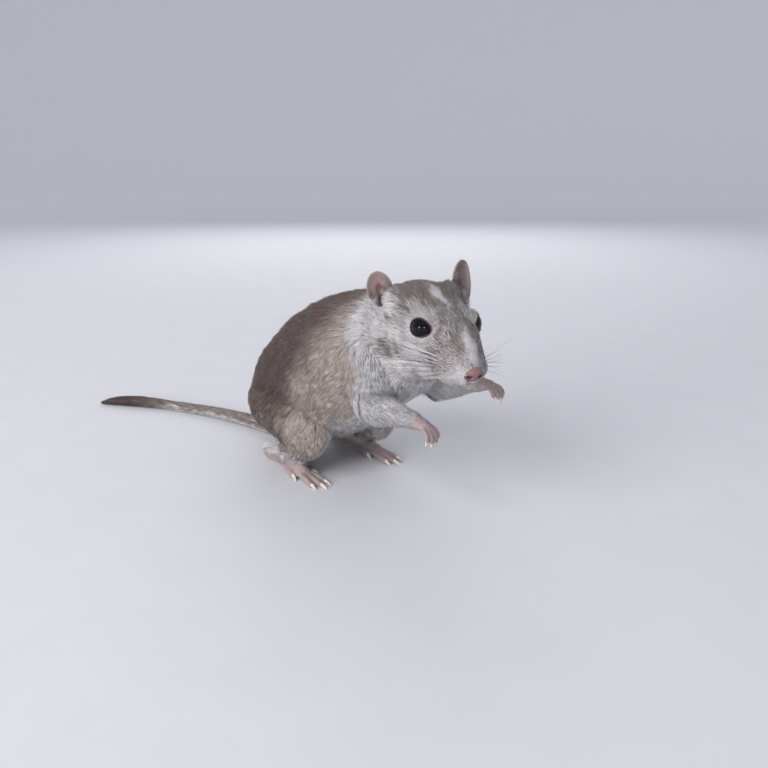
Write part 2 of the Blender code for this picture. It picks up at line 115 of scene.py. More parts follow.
# %% Helpers for colours and nodes
def linear(hex_colour):
    """A screen colour such as "#aabbcc" as linear red, green, blue and alpha."""
    parts = [int(hex_colour[i : i + 2], 16) / 255 for i in (1, 3, 5)]
    return (*(p / 12.92 if p <= 0.04045 else ((p + 0.055) / 1.055) ** 2.4 for p in parts), 1.0)


def add_node(tree, kind, settings=None, inputs=None):
    """Adds a node. settings are its properties; inputs are values, hex colours or other nodes' output sockets."""
    node = tree.nodes.new(kind)
    for name, value in (settings or {}).items():
        setattr(node, name, value)
    for name, value in (inputs or {}).items():
        if isinstance(value, bpy.types.NodeSocket):
            tree.links.new(value, node.inputs[name])
        else:
            node.inputs[name].default_value = linear(value) if isinstance(value, str) else value
    return node


def mix(tree, share, first, second):
    """The colour that lies the given share of the way from the first to the second."""
    node = add_node(tree, "ShaderNodeMix", {"data_type": "RGBA"}, {0: share, 6: first, 7: second})
    return node.outputs[2]


def in_span(tree, value, old_span, new_span, kind="LINEAR"):
    """The value, moved from one span of numbers into another and kept inside it."""
    names = ("From Min", "From Max", "To Min", "To Max")
    inputs = {"Value": value, **dict(zip(names, (*old_span, *new_span)))}
    return add_node(tree, "ShaderNodeMapRange", {"interpolation_type": kind}, inputs).outputs[0]


def times(tree, first, second):
    return add_node(tree, "ShaderNodeMath", {"operation": "MULTIPLY"}, {0: first, 1: second}).outputs[0]


def texture(tree, kind, scale, output="Fac", **inputs):
    """A texture worked out from the place on the object. Its scale is in waves or cells to the metre."""
    place = add_node(tree, "ShaderNodeTexCoord")
    inputs = {"Vector": place.outputs["Object"], "Scale": scale, **inputs}
    return add_node(tree, kind, inputs=inputs).outputs[output]


def channels(tree, name="marks"):
    """The colour attribute of that name: its alpha, and its red, green and blue by name."""
    whole = add_node(tree, "ShaderNodeAttribute", {"attribute_name": name})
    parts = add_node(tree, "ShaderNodeSeparateColor", inputs={"Color": whole.outputs["Color"]})
    return whole.outputs["Alpha"], parts.outputs


def new_material(name, **shader_inputs):
    """A material with one shader, and the tree and shader to build on."""
    material = bpy.data.materials.new(name)
    material.use_nodes = True
    tree = material.node_tree
    tree.nodes.clear()
    shader = add_node(tree, "ShaderNodeBsdfPrincipled", inputs=shader_inputs)
    add_node(tree, "ShaderNodeOutputMaterial", inputs={"Surface": shader.outputs["BSDF"]})
    return material, tree, shader


def glow(weight, *reach):
    """Shader inputs that let light spread under the surface, as far as the reach of each colour in mm."""
    radius = [r * MM for r in reach]
    return {"Subsurface Weight": weight, "Subsurface Radius": radius, "Subsurface Scale": 1.0}


def paint(tree, shader, colour, height=None, strength=0.0, depth=0.0):
    """Joins a colour to the shader and, where a height is given, a bump of that depth in mm."""
    tree.links.new(colour, shader.inputs["Base Color"])
    if height is not None:
        inputs = {"Strength": strength, "Distance": depth * MM, "Height": height}
        bump = add_node(tree, "ShaderNodeBump", inputs=inputs)
        tree.links.new(bump.outputs["Normal"], shader.inputs["Normal"])


# %% Helpers for objects
SIDES = {1: "left", -1: "right"}


def link(name, data):
    """Puts a new object into the scene."""
    obj = bpy.data.objects.new(name, data)
    bpy.context.scene.collection.objects.link(obj)
    return obj


def mesh_from(bm, name):
    """Turns a worked-on mesh into a finished one."""
    mesh = bpy.data.meshes.new(name)
    bm.to_mesh(mesh)
    bm.free()
    return mesh


def add_piece(name, mesh, material):
    """Links a piece, gives it its material and lets it ride on the body."""
    mesh.materials.append(material)
    piece = link(name, mesh)
    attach(piece, "root")
    return piece


# %% [markdown]
# ## Floor and light
# A pale matt floor curves up into a backdrop on all sides, like a paper roll in a studio. A pale sky and a
# large lamp up on the left give soft light, as a window does. A small lamp on the left and one beside the
# camera add the two points that show in the eye.

# %% Build the studio
FLAT, CURVE = 2.0, 1.2  # radius of the flat floor and of the curve round it, m
SWEEP = [(FLAT + CURVE * math.sin(a), CURVE - CURVE * math.cos(a)) for a in np.linspace(0, 1.35, 12)]
SWEEP.append((3.6, 4.0))
SWEEP_SIDES = 96


def sweep_mesh():
    """The floor and its raised edge, as a surface turned about the model."""
    bm = bmesh.new()
    middle = bm.verts.new((0, 0, 0))
    turns = [2 * math.pi * i / SWEEP_SIDES for i in range(SWEEP_SIDES)]
    rings = [[bm.verts.new((r * math.cos(t), r * math.sin(t), z)) for t in turns] for r, z in SWEEP]
    for i in range(SWEEP_SIDES):
        after = (i + 1) % SWEEP_SIDES
        bm.faces.new((middle, rings[0][i], rings[0][after]))
        for inner, outer in zip(rings, rings[1:]):
            bm.faces.new((inner[i], outer[i], outer[after], inner[after]))
    mesh = mesh_from(bm, "floor")
    mesh.shade_smooth()
    return mesh


floor = link("floor", sweep_mesh())
floor_paint, tree, shader = new_material("matt_studio_paper", Roughness=0.9)
grain = add_node(tree, "ShaderNodeTexNoise", inputs={"Scale": 400.0, "Detail": 4.0})
place = add_node(tree, "ShaderNodeTexCoord")
reach = add_node(tree, "ShaderNodeVectorMath", {"operation": "LENGTH"}, {0: place.outputs["Object"]})
# Paler further from the model: painted light, so that the raised wall, which sees less of the sky, looks as bright as
# the floor
painted_light_far_off = in_span(tree, reach.outputs["Value"], (0.2, 1.8), (0.0, 1.0), "SMOOTHSTEP")
paper = mix(tree, grain.outputs["Fac"], "#d2d2d6", "#d8d8dc")
paint(tree, shader, mix(tree, painted_light_far_off, paper, "#f4f4f8"))
floor.data.materials.append(floor_paint)
floor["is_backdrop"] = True

world = bpy.data.worlds.new("studio")
world.use_nodes = True
sky = world.node_tree.nodes["Background"].inputs
sky["Color"].default_value = linear("#dfe1e8")
sky["Strength"].default_value = 0.70
bpy.context.scene.world = world
bpy.context.scene.view_settings.view_transform = "Standard"
UP = Vector((0, 0, 1))
CAMERA_RIGHT = CAMERA_LOOKS.cross(UP).normalized()
LEFTWARD = 1.04  # aims the left lamps 46 degrees to the left of the camera


def area_lamp(name, place, size, watts):
    """A square lamp that shines on the head."""
    lamp = link(name, bpy.data.lights.new(name, "AREA"))
    lamp.data.size = size
    lamp.data.energy = watts
    lamp.location = place
    lamp.rotation_euler = (centre_of("head") - place).to_track_quat("-Z", "Y").to_euler()
    return lamp


eye_spot = centre_of("eye_right")
back_to_camera = (camera.location - eye_spot).normalized()
from_left = (back_to_camera - LEFTWARD * CAMERA_RIGHT).normalized()
from_above = (from_left + 0.42 * UP).normalized()
from_front = (back_to_camera - 0.03 * UP).normalized()
large_lamp = area_lamp("large_lamp", eye_spot + from_above * 1.1, 0.7, 9.0)
back_lamp = area_lamp("back_lamp", Vector((-0.5, 0.45, 0.45)), 0.5, 2.0)
large_lamp.visible_glossy = back_lamp.visible_glossy = False  # only the two small lamps show in the eye
area_lamp("left_lamp", eye_spot + from_left * 0.6, 0.08, 0.75)
area_lamp("front_lamp", eye_spot + from_front * 0.7, 0.08, 0.65)
report("studio ready")

# %% [markdown]
# ## The head's own frame
# Much of the face is easier to place from the head than from the floor: X to the nose, Y to the left ear, Z to
# the crown. The two eye balls give its middle and its Y. The nose points down by a known angle.

# %% Find the head's frame
HEAD_PITCH = 18.0
EYE_AHEAD = 0.8  # how far the eye balls lie ahead of the frame's middle, mm
EYE_RADIUS = 3.6
left_eye, right_eye = (np.array(centre_of(f"eye_{side}")) / MM for side in ("left", "right"))
head_y = (left_eye - right_eye) / np.linalg.norm(left_eye - right_eye)
level_x = np.cross(head_y, (0, 0, 1))
pitch = math.radians(HEAD_PITCH)
head_x = level_x * math.cos(pitch) - np.array((0, 0, 1)) * math.sin(pitch)
head_z = np.cross(head_x, head_y)
HEAD_TURN = np.array((head_x, head_y, head_z))
HEAD_MIDDLE = (left_eye + right_eye) / 2 - head_x * EYE_AHEAD
HEAD_IN_PART = (60.7, 0.4, 57.3)  # the same place in the frame that the leg and claw numbers below are in
PART_SHIFT = HEAD_MIDDLE - HEAD_IN_PART


def in_head(points):
    """Places in the row's frame, in mm, as places in the head's frame."""
    return (np.asarray(points) - HEAD_MIDDLE) @ HEAD_TURN.T


def from_head(points):
    """Places in the head's frame, in mm, as places in the row's frame."""
    return np.asarray(points) @ HEAD_TURN + HEAD_MIDDLE


def fade(values, none, full):
    """0 at none and 1 at full, with a soft start and end."""
    t = np.clip((values - none) / (full - none), 0.0, 1.0)
    return t * t * (3 - 2 * t)


def unit(vectors):
    """The same directions with a length of one."""
    return vectors / np.maximum(np.linalg.norm(vectors, axis=-1, keepdims=True), 1e-9)


report(f"head turned by {math.degrees(math.atan2(head_x[1], head_x[0])):.1f} degrees, shift {PART_SHIFT.round(2)}")

# %% [markdown]
# ## One skin from many solids
# The solids are parted by cuts 0.3 mm wide. Their seam faces are moved together until they overlap, and a voxel
# remesh then makes one closed surface with no seam. Sculptors fuse clay parts in the same way. The eye balls
# are fused in too, so that the skin closes behind them.

# %% Fuse the solids into one skin
SEAM_REACH = 0.5 * MM
SEAM_SHARE = 0.75  # of the gap, from each side
VOXEL = 0.33 * MM
FLESH = sorted(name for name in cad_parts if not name.startswith("eye"))


def applied(obj):
    """Gives the object the mesh that its modifiers make."""
    graph = bpy.context.evaluated_depsgraph_get()
    mesh = bpy.data.meshes.new_from_object(obj.evaluated_get(graph))
    obj.modifiers.clear()
    obj.data = mesh


def array_of(collection, field, width, kind=np.float32):
    """A field of a mesh's points, edges or faces as an array."""
    values = np.empty(len(collection) * width, kind)
    collection.foreach_get(field, values)
    return values.reshape(-1, width).astype(float if kind is np.float32 else int)


def welded(name):
    """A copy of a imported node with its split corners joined."""
    bm = bmesh.new()
    bm.from_mesh(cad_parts[name].data)
    bmesh.ops.remove_doubles(bm, verts=bm.verts, dist=0.001 * MM)
    return bm


def fused_solids():
    """All solids in one mesh, with the faces at each cut moved into each other."""
    solids = {name: welded(name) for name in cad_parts}
    trees = {name: BVHTree.FromBMesh(bm) for name, bm in solids.items()}
    moves = []
    for name, bm in solids.items():
        for vert in bm.verts:
            for other, tree in trees.items():
                at = tree.find_nearest(vert.co, SEAM_REACH)[0] if other != name else None
                if at is not None:
                    moves.append((vert, (at - vert.co) * SEAM_SHARE))
                    break
    for vert, move in moves:
        vert.co += move
    whole = bmesh.new()
    for bm in solids.values():
        part = mesh_from(bm, "solid")
        whole.from_mesh(part)
        bpy.data.meshes.remove(part)
    return mesh_from(whole, "skin")


skin = link("skin", fused_solids())
remesh = skin.modifiers.new("fuse", "REMESH")
remesh.mode = "VOXEL"
remesh.voxel_size = VOXEL
smooth = skin.modifiers.new("smooth", "SMOOTH")
smooth.factor, smooth.iterations = 0.5, 5
applied(skin)
report(f"fused skin has {len(skin.data.polygons)} faces")

# %% [markdown]
# ## Which part is where
# Every point of the skin remembers the nearest solid, as a weight for each kind of body part. The weights are
# spread along the mesh for some passes, so that coat depth, hair length and the lie of the hair change gently.
# Under the deep coat the mesh is thinned out, because nothing there is seen.

# %% Label the skin by body part
EVEN_SHARE = 0.55
SKIN_TRIANGLES = 165000
LABEL_PASSES = 24
KINDS = ("head", "neck", "torso", "rump", "upper_arm", "forearm", "forepaw", "thigh", "hind_foot", "tail", "ear",
         "eye")
DEEP_KINDS = [KINDS.index(kind) for kind in ("neck", "torso", "rump", "upper_arm", "thigh")]


def nearest_solid(points):
    """For each point in metres, the number of the nearest solid's kind."""
    corners, faces, kinds = [], [], []
    for name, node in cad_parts.items():
        kind = next(i for i, start in enumerate(KINDS) if name.startswith(start))
        base = len(corners)
        corners += [vertex.co for vertex in node.data.vertices]
        faces += [[base + i for i in face.vertices] for face in node.data.polygons]
        kinds += [kind] * len(node.data.polygons)
    tree = BVHTree.FromPolygons(corners, faces)
    return np.array([kinds[tree.find_nearest(point)[2]] for point in points])


def thin_out(obj, ratio, only=None):
    """Fewer triangles, over the whole mesh or over the given points."""
    decimate = obj.modifiers.new("thin", "DECIMATE")
    decimate.ratio = ratio
    if only is not None:
        group = obj.vertex_groups.new(name="spare")
        group.add([int(i) for i in only], 1.0, "REPLACE")
        decimate.vertex_group = group.name
    applied(obj)
    obj.vertex_groups.clear()


def spread(values, edges, passes):
    """Values at the points of a mesh, averaged with their neighbours again and again."""
    values = np.array(values, float)
    ends = np.concatenate([edges, edges[:, ::-1]])
    count = np.bincount(ends[:, 0], minlength=len(values)) + 1.0
    for _ in range(passes):
        for column in range(values.shape[1]):
            total = np.bincount(ends[:, 0], values[ends[:, 1], column], minlength=len(values))
            values[:, column] = (total + values[:, column]) / count
    return values


thin_out(skin, EVEN_SHARE)
skin_kinds = nearest_solid(array_of(skin.data.vertices, "co", 3))
thin_out(skin, SKIN_TRIANGLES / len(skin.data.polygons), np.flatnonzero(np.isin(skin_kinds, DEEP_KINDS)))
skin_edges = array_of(skin.data.edges, "vertices", 2, np.int32)
skin_kinds = nearest_solid(array_of(skin.data.vertices, "co", 3))
kind_weights = spread(np.eye(len(KINDS))[skin_kinds], skin_edges, LABEL_PASSES)
share_of = {kind: kind_weights[:, i] for i, kind in enumerate(KINDS)}
report(f"skin has {len(skin.data.polygons)} faces")

# %% [markdown]
# ## How deep the coat is
# A gerbil's coat is dense and about 10 mm long on the body, where it lies flat and some 2 mm deep. It gets
# shorter towards the nose, the wrists and the feet, and the ears are all but bare. The skin is sunk by this
# depth, so that the tips of the tufts come out at the surface of the solids.

# %% Sink the skin under its coat
# Kind: coat depth, tuft length, half width in mm, tufts per square mm
COAT = {
    "head": (1.0, 3.0, 0.075, 17.0),
    "neck": (2.1, 5.2, 0.088, 13.0),
    "torso": (2.3, 6.0, 0.10, 10.6),
    "rump": (2.3, 6.2, 0.108, 9.4),
    "upper_arm": (1.8, 4.6, 0.10, 10.0),
    "forearm": (0.8, 2.6, 0.07, 14.0),
    "forepaw": (0.10, 1.1, 0.04, 14.0),
    "thigh": (1.9, 5.0, 0.10, 9.4),
    "hind_foot": (0.10, 1.3, 0.045, 12.0),
    "tail": (0.45, 2.3, 0.07, 12.0),
    "ear": (0.03, 0.8, 0.03, 14.0),
    "eye": (0.3, 0.8, 0.05, 0.0),
}
MUZZLE_COAT = (0.22, 0.95, 0.042, 30.0)  # the same at the nose


def coat_values(points, weights):
    """Depth, length, half width and density of the coat at each place."""
    values = weights @ np.array([COAT[kind] for kind in KINDS])
    face = fade(in_head(points)[:, 0], -14.0, 17.0) * weights[:, KINDS.index("head")]
    return values + face[:, None] * (np.array(MUZZLE_COAT) - values)


skin_points = array_of(skin.data.vertices, "co", 3) / MM
skin_normals = array_of(skin.data.vertex_normals, "vector", 3)
skin_coat = coat_values(skin_points, kind_weights)
skin_points -= skin_normals * skin_coat[:, :1]
report(f"coat is {skin_coat[:, 0].min():.2f} to {skin_coat[:, 0].max():.2f} mm deep")

# %% [markdown]
# ## Lids, lips and the folds of the face
# The skin is drawn back from the opening between the lids, so the eye ball shows there, and it swells into a
# lid round it. The opening is lower in front, where the tear duct is. The lips part along a fine groove that
# starts under the nose, and a second, deeper one runs down from the cup of the ear to the notch before it.
# The left ear is narrowed to a point, as the photo shows it.

# %% Shape the lids
LID_AXIS = unit(np.array((0.52, 0.82, 0.24)))  # out of the left eye, in the head's frame
# How far the opening reaches from its middle, mm: the left lids are drawn a little closer
OPENING = {1: {"front": 2.9, "rear": 3.1, "up": 2.45, "down": 1.9},
           -1: {"front": 3.4, "rear": 3.15, "up": 2.65, "down": 2.1}}
LID_THICK = 0.40
BEHIND_BALL = 0.7  # how far the skin lies behind the ball's surface in the opening
LID_END = 2.3  # where the lid has run out into the face, in openings


def eye_axes(side):
    """The eye's centre, and its own directions: out of the head, forward and up. side is 1 on the left."""
    out = LID_AXIS * (1, side, 1)
    up = np.array((-0.25, 0.0, 1.0))
    up = unit(up - out * up.dot(out))
    forward = np.cross(up, out) * -side
    return (left_eye if side == 1 else right_eye), out @ HEAD_TURN, forward @ HEAD_TURN, up @ HEAD_TURN


def lid_reach(side, ahead, above):
    """How wide and high the opening is towards each place. In front the two lids run together."""
    reach = OPENING[side]
    height = np.where(above > 0, reach["up"], reach["down"])
    height = height * (1 - 0.25 * np.clip(ahead / reach["front"], 0, 1) ** 2)
    return np.where(ahead > 0, reach["front"], reach["rear"]), height


def opening_ring(points, side):
    """0 at the middle of the opening between the lids, 1 at its edge and more outside, and the height over it."""
    centre, out, forward, up = eye_axes(side)
    offset = points - centre
    ahead, above = offset @ forward, offset @ up
    width, height = lid_reach(side, ahead, above)
    return np.hypot(ahead / width, above / height), offset @ out


def shape_lids(points):
    """Moves the skin behind the eye ball inside the lids' opening, and over it outside."""
    inside = EYE_RADIUS - BEHIND_BALL
    for side in SIDES:
        centre = eye_axes(side)[0]
        ring, along = opening_ring(points, side)
        near = (along > 0) & (np.linalg.norm(points - centre, axis=1) < 8.0) & (ring < LID_END + 0.1)
        offset = points[near] - centre
        radius = np.linalg.norm(offset, axis=1)
        lid = np.maximum(EYE_RADIUS + LID_THICK, radius)
        rest = fade(ring[near], 1.2, LID_END)
        wanted = inside + (lid * (1 - rest) + radius * rest - inside) * fade(ring[near], 0.94, 1.04)
        points[near] = centre + offset * (wanted / radius)[:, None]
    return points


skin_points = shape_lids(skin_points)
report("lids shaped")

# %% Part the lips and open the ears
LIPS = ((19.4, 0.0, -6.6), (18.4, 0.2, -8.2), (17.0, 2.2, -9.2), (14.2, 4.0, -9.9), (10.5, 5.2, -9.6))
EAR_CHANNEL = ((-19.6, 12.7, 2.4), (-19.0, 12.3, 0.4), (-18.2, 11.8, -1.6), (-16.4, 12.0, -3.0), (-13.6, 12.6, -2.8),
               (-11.2, 12.5, -2.2), (-9.6, 12.2, -2.2))
EAR_FRINGE = ((-17.0, 10.4, 5.4), (-15.2, 10.0, 4.0), (-13.6, 10.2, 2.6), (-12.2, 10.9, 1.5), (-11.2, 11.6, 0.7),
              (-10.4, 11.7, -0.3), (-9.4, 11.6, -1.0))
EAR_ROOT, EAR_TIP = np.array((-12.4, 10.9, -4.4)), np.array((-20.4, 14.6, 8.0))
EAR_OPENS = np.array((0.82, 0.56, 0.14))
EAR_POINTED = 0.55  # how much narrower the left ear gets at its tip, on the outside
CHANNEL_DEPTH, CHANNEL_WIDTH = 0.7, 0.85
LIP_DEPTH, LIP_WIDTH = 0.40, 0.40


def smooth_path(points, steps):
    """Points on a smooth curve through the given ones."""
    points = np.array(points, float)
    padded = np.vstack([2 * points[0] - points[1], points, 2 * points[-1] - points[-2]])
    path = []
    for p0, p1, p2, p3 in zip(padded, padded[1:], padded[2:], padded[3:]):
        for t in np.arange(steps) / steps:
            bend = t * t * (p0 - 2.5 * p1 + 2 * p2 - 0.5 * p3) + 0.5 * t**3 * (3 * (p1 - p2) + p3 - p0)
            path.append(p1 + 0.5 * t * (p2 - p0) + bend)
    path.append(points[-1])
    return np.array(path)


def distance_to(points, path):
    """Distance from each point to a path of short straight lengths."""
    best = np.full(len(points), 1e9)
    for start, end in zip(path[:-1], path[1:]):
        length = max(np.dot(end - start, end - start), 1e-9)
        along = np.clip((points - start) @ (end - start) / length, 0, 1)
        best = np.minimum(best, np.linalg.norm(points - start - along[:, None] * (end - start), axis=1))
    return best


def nearest_on_skin(spot):
    return skin_points[np.argmin(((skin_points - spot) ** 2).sum(axis=1))]


def distance_on_skin(path):
    """Distance from each point of the skin to a path in the head's frame, laid on both sides of the head."""
    smooth = [from_head(smooth_path(np.array(path) * (1, side, 1), 6)) for side in SIDES]
    return np.minimum(*(distance_to(skin_points, np.array([nearest_on_skin(p) for p in spots])) for spots in smooth))


def point_left_ear(points):
    """Draws the outer edge of the left ear in towards its tip, as it shows in the photo."""
    local = in_head(points)
    axis = unit(EAR_TIP - EAR_ROOT)
    outward = unit(np.cross(EAR_OPENS, axis))
    outward = outward * np.sign(outward[1])
    along = (local - EAR_ROOT) @ axis / np.linalg.norm(EAR_TIP - EAR_ROOT)
    aside = (local - EAR_ROOT) @ outward
    draw_in = np.maximum(aside, 0) * EAR_POINTED * fade(along, 0.2, 1.1) * share_of["ear"] * (local[:, 1] > 0)
    return points - draw_in[:, None] * (outward @ HEAD_TURN)


skin_points = point_left_ear(skin_points)
lip_distance, channel_distance = distance_on_skin(LIPS), distance_on_skin(EAR_CHANNEL)
fringe = 1 - fade(distance_on_skin(EAR_FRINGE), 0.7, 1.5)
off_ear = 1 - fade(share_of["ear"], 0.02, 0.3)
channel = CHANNEL_DEPTH * np.exp(-((channel_distance / CHANNEL_WIDTH) ** 2)) * off_ear
grooves = LIP_DEPTH * np.exp(-((lip_distance / LIP_WIDTH) ** 2)) + channel
skin_points -= skin_normals * grooves[:, None]
skin.data.vertices.foreach_set("co", (skin_points * MM).ravel())
skin.data.update()
skin.data.shade_smooth()
skin_normals = array_of(skin.data.vertex_normals, "vector", 3)
report("lips and ears shaped")

# %% [markdown]
# ## The unwrap
# Skin and coat share one map of the skin's own shape, so a baked picture of their colours can travel with the
# model. A tuft's whole surface lies on a small patch of that map, at the place of its root.

# %% Unwrap the skin
MAP_NAME = "OFBake"
skin.data.uv_layers.new(name=MAP_NAME)
bpy.context.view_layer.objects.active = skin
skin.select_set(True)
bpy.ops.object.mode_set(mode="EDIT")
bpy.ops.mesh.select_all(action="SELECT")
bpy.ops.uv.smart_project(angle_limit=math.radians(66), island_margin=0.001)
bpy.ops.object.mode_set(mode="OBJECT")
skin.select_set(False)
report("skin unwrapped")

# %% [markdown]
# ## Markings
# This is a pied gerbil. White runs from the cheeks and throat over the collar, chest and forelegs. The back is
# grey-brown with dark hair tips, and the flanks are a paler tan. Part of the darkness of the back and rump is
# painted shade. The crown is brown with a white spot, and a white blaze runs down the nose. Each marking is a
# soft ellipsoid or a soft edge with a name and a place, and the same function paints both the skin and each
# tuft, so the two always agree.

# %% Describe the markings
WHITE, DARK = 0, 1
# In the head's frame: middle and radii in mm, what it changes, to what value and how strongly
FACE_MARKS = (
    ("crown", (-10.0, 0.0, 6.0), (13.5, 13.0, 8.5), WHITE, 0.16, 1.0),
    ("crown_tone", (-10.0, 0.0, 6.0), (13.5, 13.0, 8.5), DARK, 0.58, 1.0),
    ("crown_streak", (-12.5, -4.6, 8.0), (6.0, 1.3, 4.0), WHITE, 0.45, 0.7),
    ("brow_streak", (0.5, -2.4, 5.0), (5.0, 2.2, 3.0), WHITE, 0.12, 0.9),
    ("far_brow", (1.5, 4.6, 4.6), (6.0, 3.2, 3.4), WHITE, 0.18, 0.9),
    ("upper_face", (6.5, 0.0, 4.0), (12.0, 8.6, 6.0), WHITE, 0.42, 0.9),
    ("bridge", (10.5, 0.0, 1.0), (6.5, 5.0, 4.0), WHITE, 0.40, 0.9),
    ("above_eye", (-2.6, -7.6, 3.4), (5.4, 2.2, 1.8), WHITE, 0.75, 0.7),
    ("above_eye_left", (-2.6, 7.6, 3.4), (5.4, 2.2, 1.8), WHITE, 0.75, 0.7),
    ("spot", (-7.6, 0.6, 5.6), (6.8, 1.5, 4.0), WHITE, 1.0, 1.0),
    ("muzzle_side", (12.0, -5.2, -3.0), (6.5, 3.6, 4.8), WHITE, 0.36, 0.9),
    ("muzzle_side_left", (12.0, 5.2, -3.0), (6.5, 3.6, 4.8), WHITE, 0.45, 0.85),
    ("nose_top", (17.8, 0.0, -1.6), (3.0, 4.2, 2.8), WHITE, 0.55, 0.8),
    ("blaze", (13.6, 0.8, 0.8), (5.0, 1.35, 3.6), WHITE, 1.0, 1.0),
    # The two bridge_shade marks are painted shade along the sides of the bridge of the nose
    ("bridge_shade", (13.0, -2.6, 0.2), (4.4, 1.0, 2.8), WHITE, 0.20, 0.85),
    ("bridge_shade_left", (13.2, 3.4, -0.2), (4.2, 1.1, 2.8), WHITE, 0.35, 0.7),
    ("cheek_tan", (-3.6, -14.6, -8.4), (4.2, 4.2, 3.0), WHITE, 0.30, 0.75),
    ("cheek_tan_left", (-4.6, 14.4, -7.4), (4.2, 4.2, 3.0), WHITE, 0.30, 0.75),
    ("behind_notch", (-7.6, -12.8, -2.6), (3.4, 3.4, 1.2), WHITE, 0.45, 0.6),
    ("behind_notch_left", (-7.6, 12.8, -2.6), (3.4, 3.4, 1.2), WHITE, 0.45, 0.6),
    ("ear_front", (-12.0, -10.8, 1.2), (3.4, 1.6, 2.6), WHITE, 0.85, 0.8),
    ("ear_front_left", (-12.0, 10.8, 1.2), (3.0, 1.4, 2.4), WHITE, 0.75, 0.8),
)
# Edges as places and heights in mm: where the collar ends, where the dark back ends (its darkness is partly the coat's
# own, partly painted shade), the trunk's middle line
COLLAR_EDGE = ((26.0, 50.0), (30.0, 52.0), (40.0, 58.5), (46.0, 56.0), (54.0, 52.5), (61.0, 51.5), (66.0, 60.0))
DARK_EDGE = ((20.0, 17.0), (25.0, 30.0), (28.0, 38.0), (32.0, 44.0), (37.0, 49.5), (43.0, 55.0), (49.0, 59.5),
             (60.0, 63.0))
TRUNK_AXIS = ((-12.0, 14.5), (15.0, 26.0), (41.0, 42.0), (59.0, 48.5), (66.0, 51.0))
# Kind: how white and how dark, where no mark changes it
PLAIN = {"head": (0.74, 0.75), "forearm": (1.0, 0.2), "forepaw": (0.8, 0.3), "hind_foot": (0.8, 0.3),
         "ear": (0.35, 0.45)}


def noise_of(points, size_mm, seed=0.0):
    """Smooth noise from about -1 to 1, with waves of the given size."""
    shift = seed * 17.3
    return np.array([noise.noise((x / size_mm + shift, y / size_mm, z / size_mm)) for x, y, z in points])


def ellipsoid(local, middle, radii, edge=0.55):
    """1 in an ellipsoid and 0 outside, with a soft edge that is a share of its size."""
    r = np.sqrt((((local - middle) / radii) ** 2).sum(axis=1))
    return 1 - fade(r, 1 - edge, 1 + edge)


def edge_at(places, edge):
    return np.interp(places, *np.array(edge).T)


def markings(points, weights):
    """For each place, how white the hair is and how dark its brown is, from 0 to 1."""
    ragged = np.stack([noise_of(points, 3.2, seed) for seed in (1, 2, 3)], axis=1)
    p = points + ragged * 2.0
    local = in_head(points + ragged * 1.3)
    share = {kind: weights[:, KINDS.index(kind)] for kind in KINDS}
    collar = fade(p[:, 0] - edge_at(p[:, 2], COLLAR_EDGE), -5.0, 4.0)
    below = edge_at(p[:, 0], TRUNK_AXIS) - p[:, 2]
    belly = fade(below, 13.0, 19.0) * (1 - share["thigh"]) + fade(10.0 - p[:, 2], -2.0, 5.0) * share["thigh"]
    # the edge is steep behind and level in front, so a height over it counts for less behind
    over = (p[:, 2] - edge_at(p[:, 0], DARK_EDGE)) * edge_at(p[:, 0], ((20.0, 0.4), (42.0, 0.9)))
    out = np.empty((len(points), 2))
    out[:, WHITE] = np.maximum(collar, belly)
    # The back and rump darken above the edge: partly the coat's own dark back, partly painted shade over them
    out[:, DARK] = 0.04 + 0.84 * fade(over, -8.5, 7.0)
    for kind, values in PLAIN.items():
        out += (np.array(values) - out) * share[kind][:, None]
    tip = 1 - fade(points[:, 0], -82.0, -60.0)
    out[:, WHITE] += (0.6 * (1 - fade(p[:, 2], 1.2, 3.2)) * (1 - tip) - out[:, WHITE]) * share["tail"]
    out[:, DARK] += (0.5 + 0.5 * tip - out[:, DARK]) * share["tail"]
    near_head = np.clip(share["head"] + share["ear"] * 0.3 + share["neck"], 0, 1)
    for _name, middle, radii, what, value, strength in FACE_MARKS:
        cover = ellipsoid(local, middle, radii) * strength * near_head
        out[:, what] += (value - out[:, what]) * cover
    for eye in (left_eye, right_eye):
        ring = 1 - fade(np.abs(np.linalg.norm(points - eye, axis=1) - 4.6), 0.2, 1.2)
        out[:, WHITE] += (0.8 - out[:, WHITE]) * ring * 0.45
    return np.clip(out, 0, 1)


skin_marks = markings(skin_points, kind_weights)
report("markings painted")

# %% [markdown]
# ## The skin's finish
# Under the coat the skin takes the hair's own tone, painted darker: shade deep in the coat, and under brown
# hair its grey underfur too. Where it is bare it is thin, pink-grey and a little moist: the nose, lips, lids,
# palms and toes, and the inside of the ears. A fine bump of pores and creases, about 0.3 mm apart, keeps it
# from looking like plastic.

# %% Find the bare places
skin_local = in_head(skin_points)
FAR = 9.0  # stands for any place away from the eyes
skin_ring = np.full(len(skin_points), FAR)
for side in SIDES:
    ring, along = opening_ring(skin_points, side)
    near = np.linalg.norm(skin_points - eye_axes(side)[0], axis=1) < 7.5
    skin_ring = np.minimum(skin_ring, np.where(near & (along > 0), ring, FAR))
nose_bare = ellipsoid(skin_local, (19.5, 0.2, -5.3), (2.0, 2.7, 2.0), 0.2)
lips_bare = np.exp(-((lip_distance / 0.45) ** 2))
lids_bare = 1 - fade(skin_ring, 1.08, 1.24)
channel_bare = 1 - fade(channel_distance, 0.7, 1.25)
deep_red = np.maximum(lips_bare * 0.7, channel_bare)
own_side = np.where(skin_local[:, 1] > 0, 1, -1)
facing = skin_normals @ HEAD_TURN.T
ear_facing = np.abs(own_side * facing[:, 1] * EAR_OPENS[1] + facing[:, [0, 2]] @ EAR_OPENS[[0, 2]])
ear_rim = share_of["ear"] * (1 - fade(ear_facing, 0.25, 0.6))
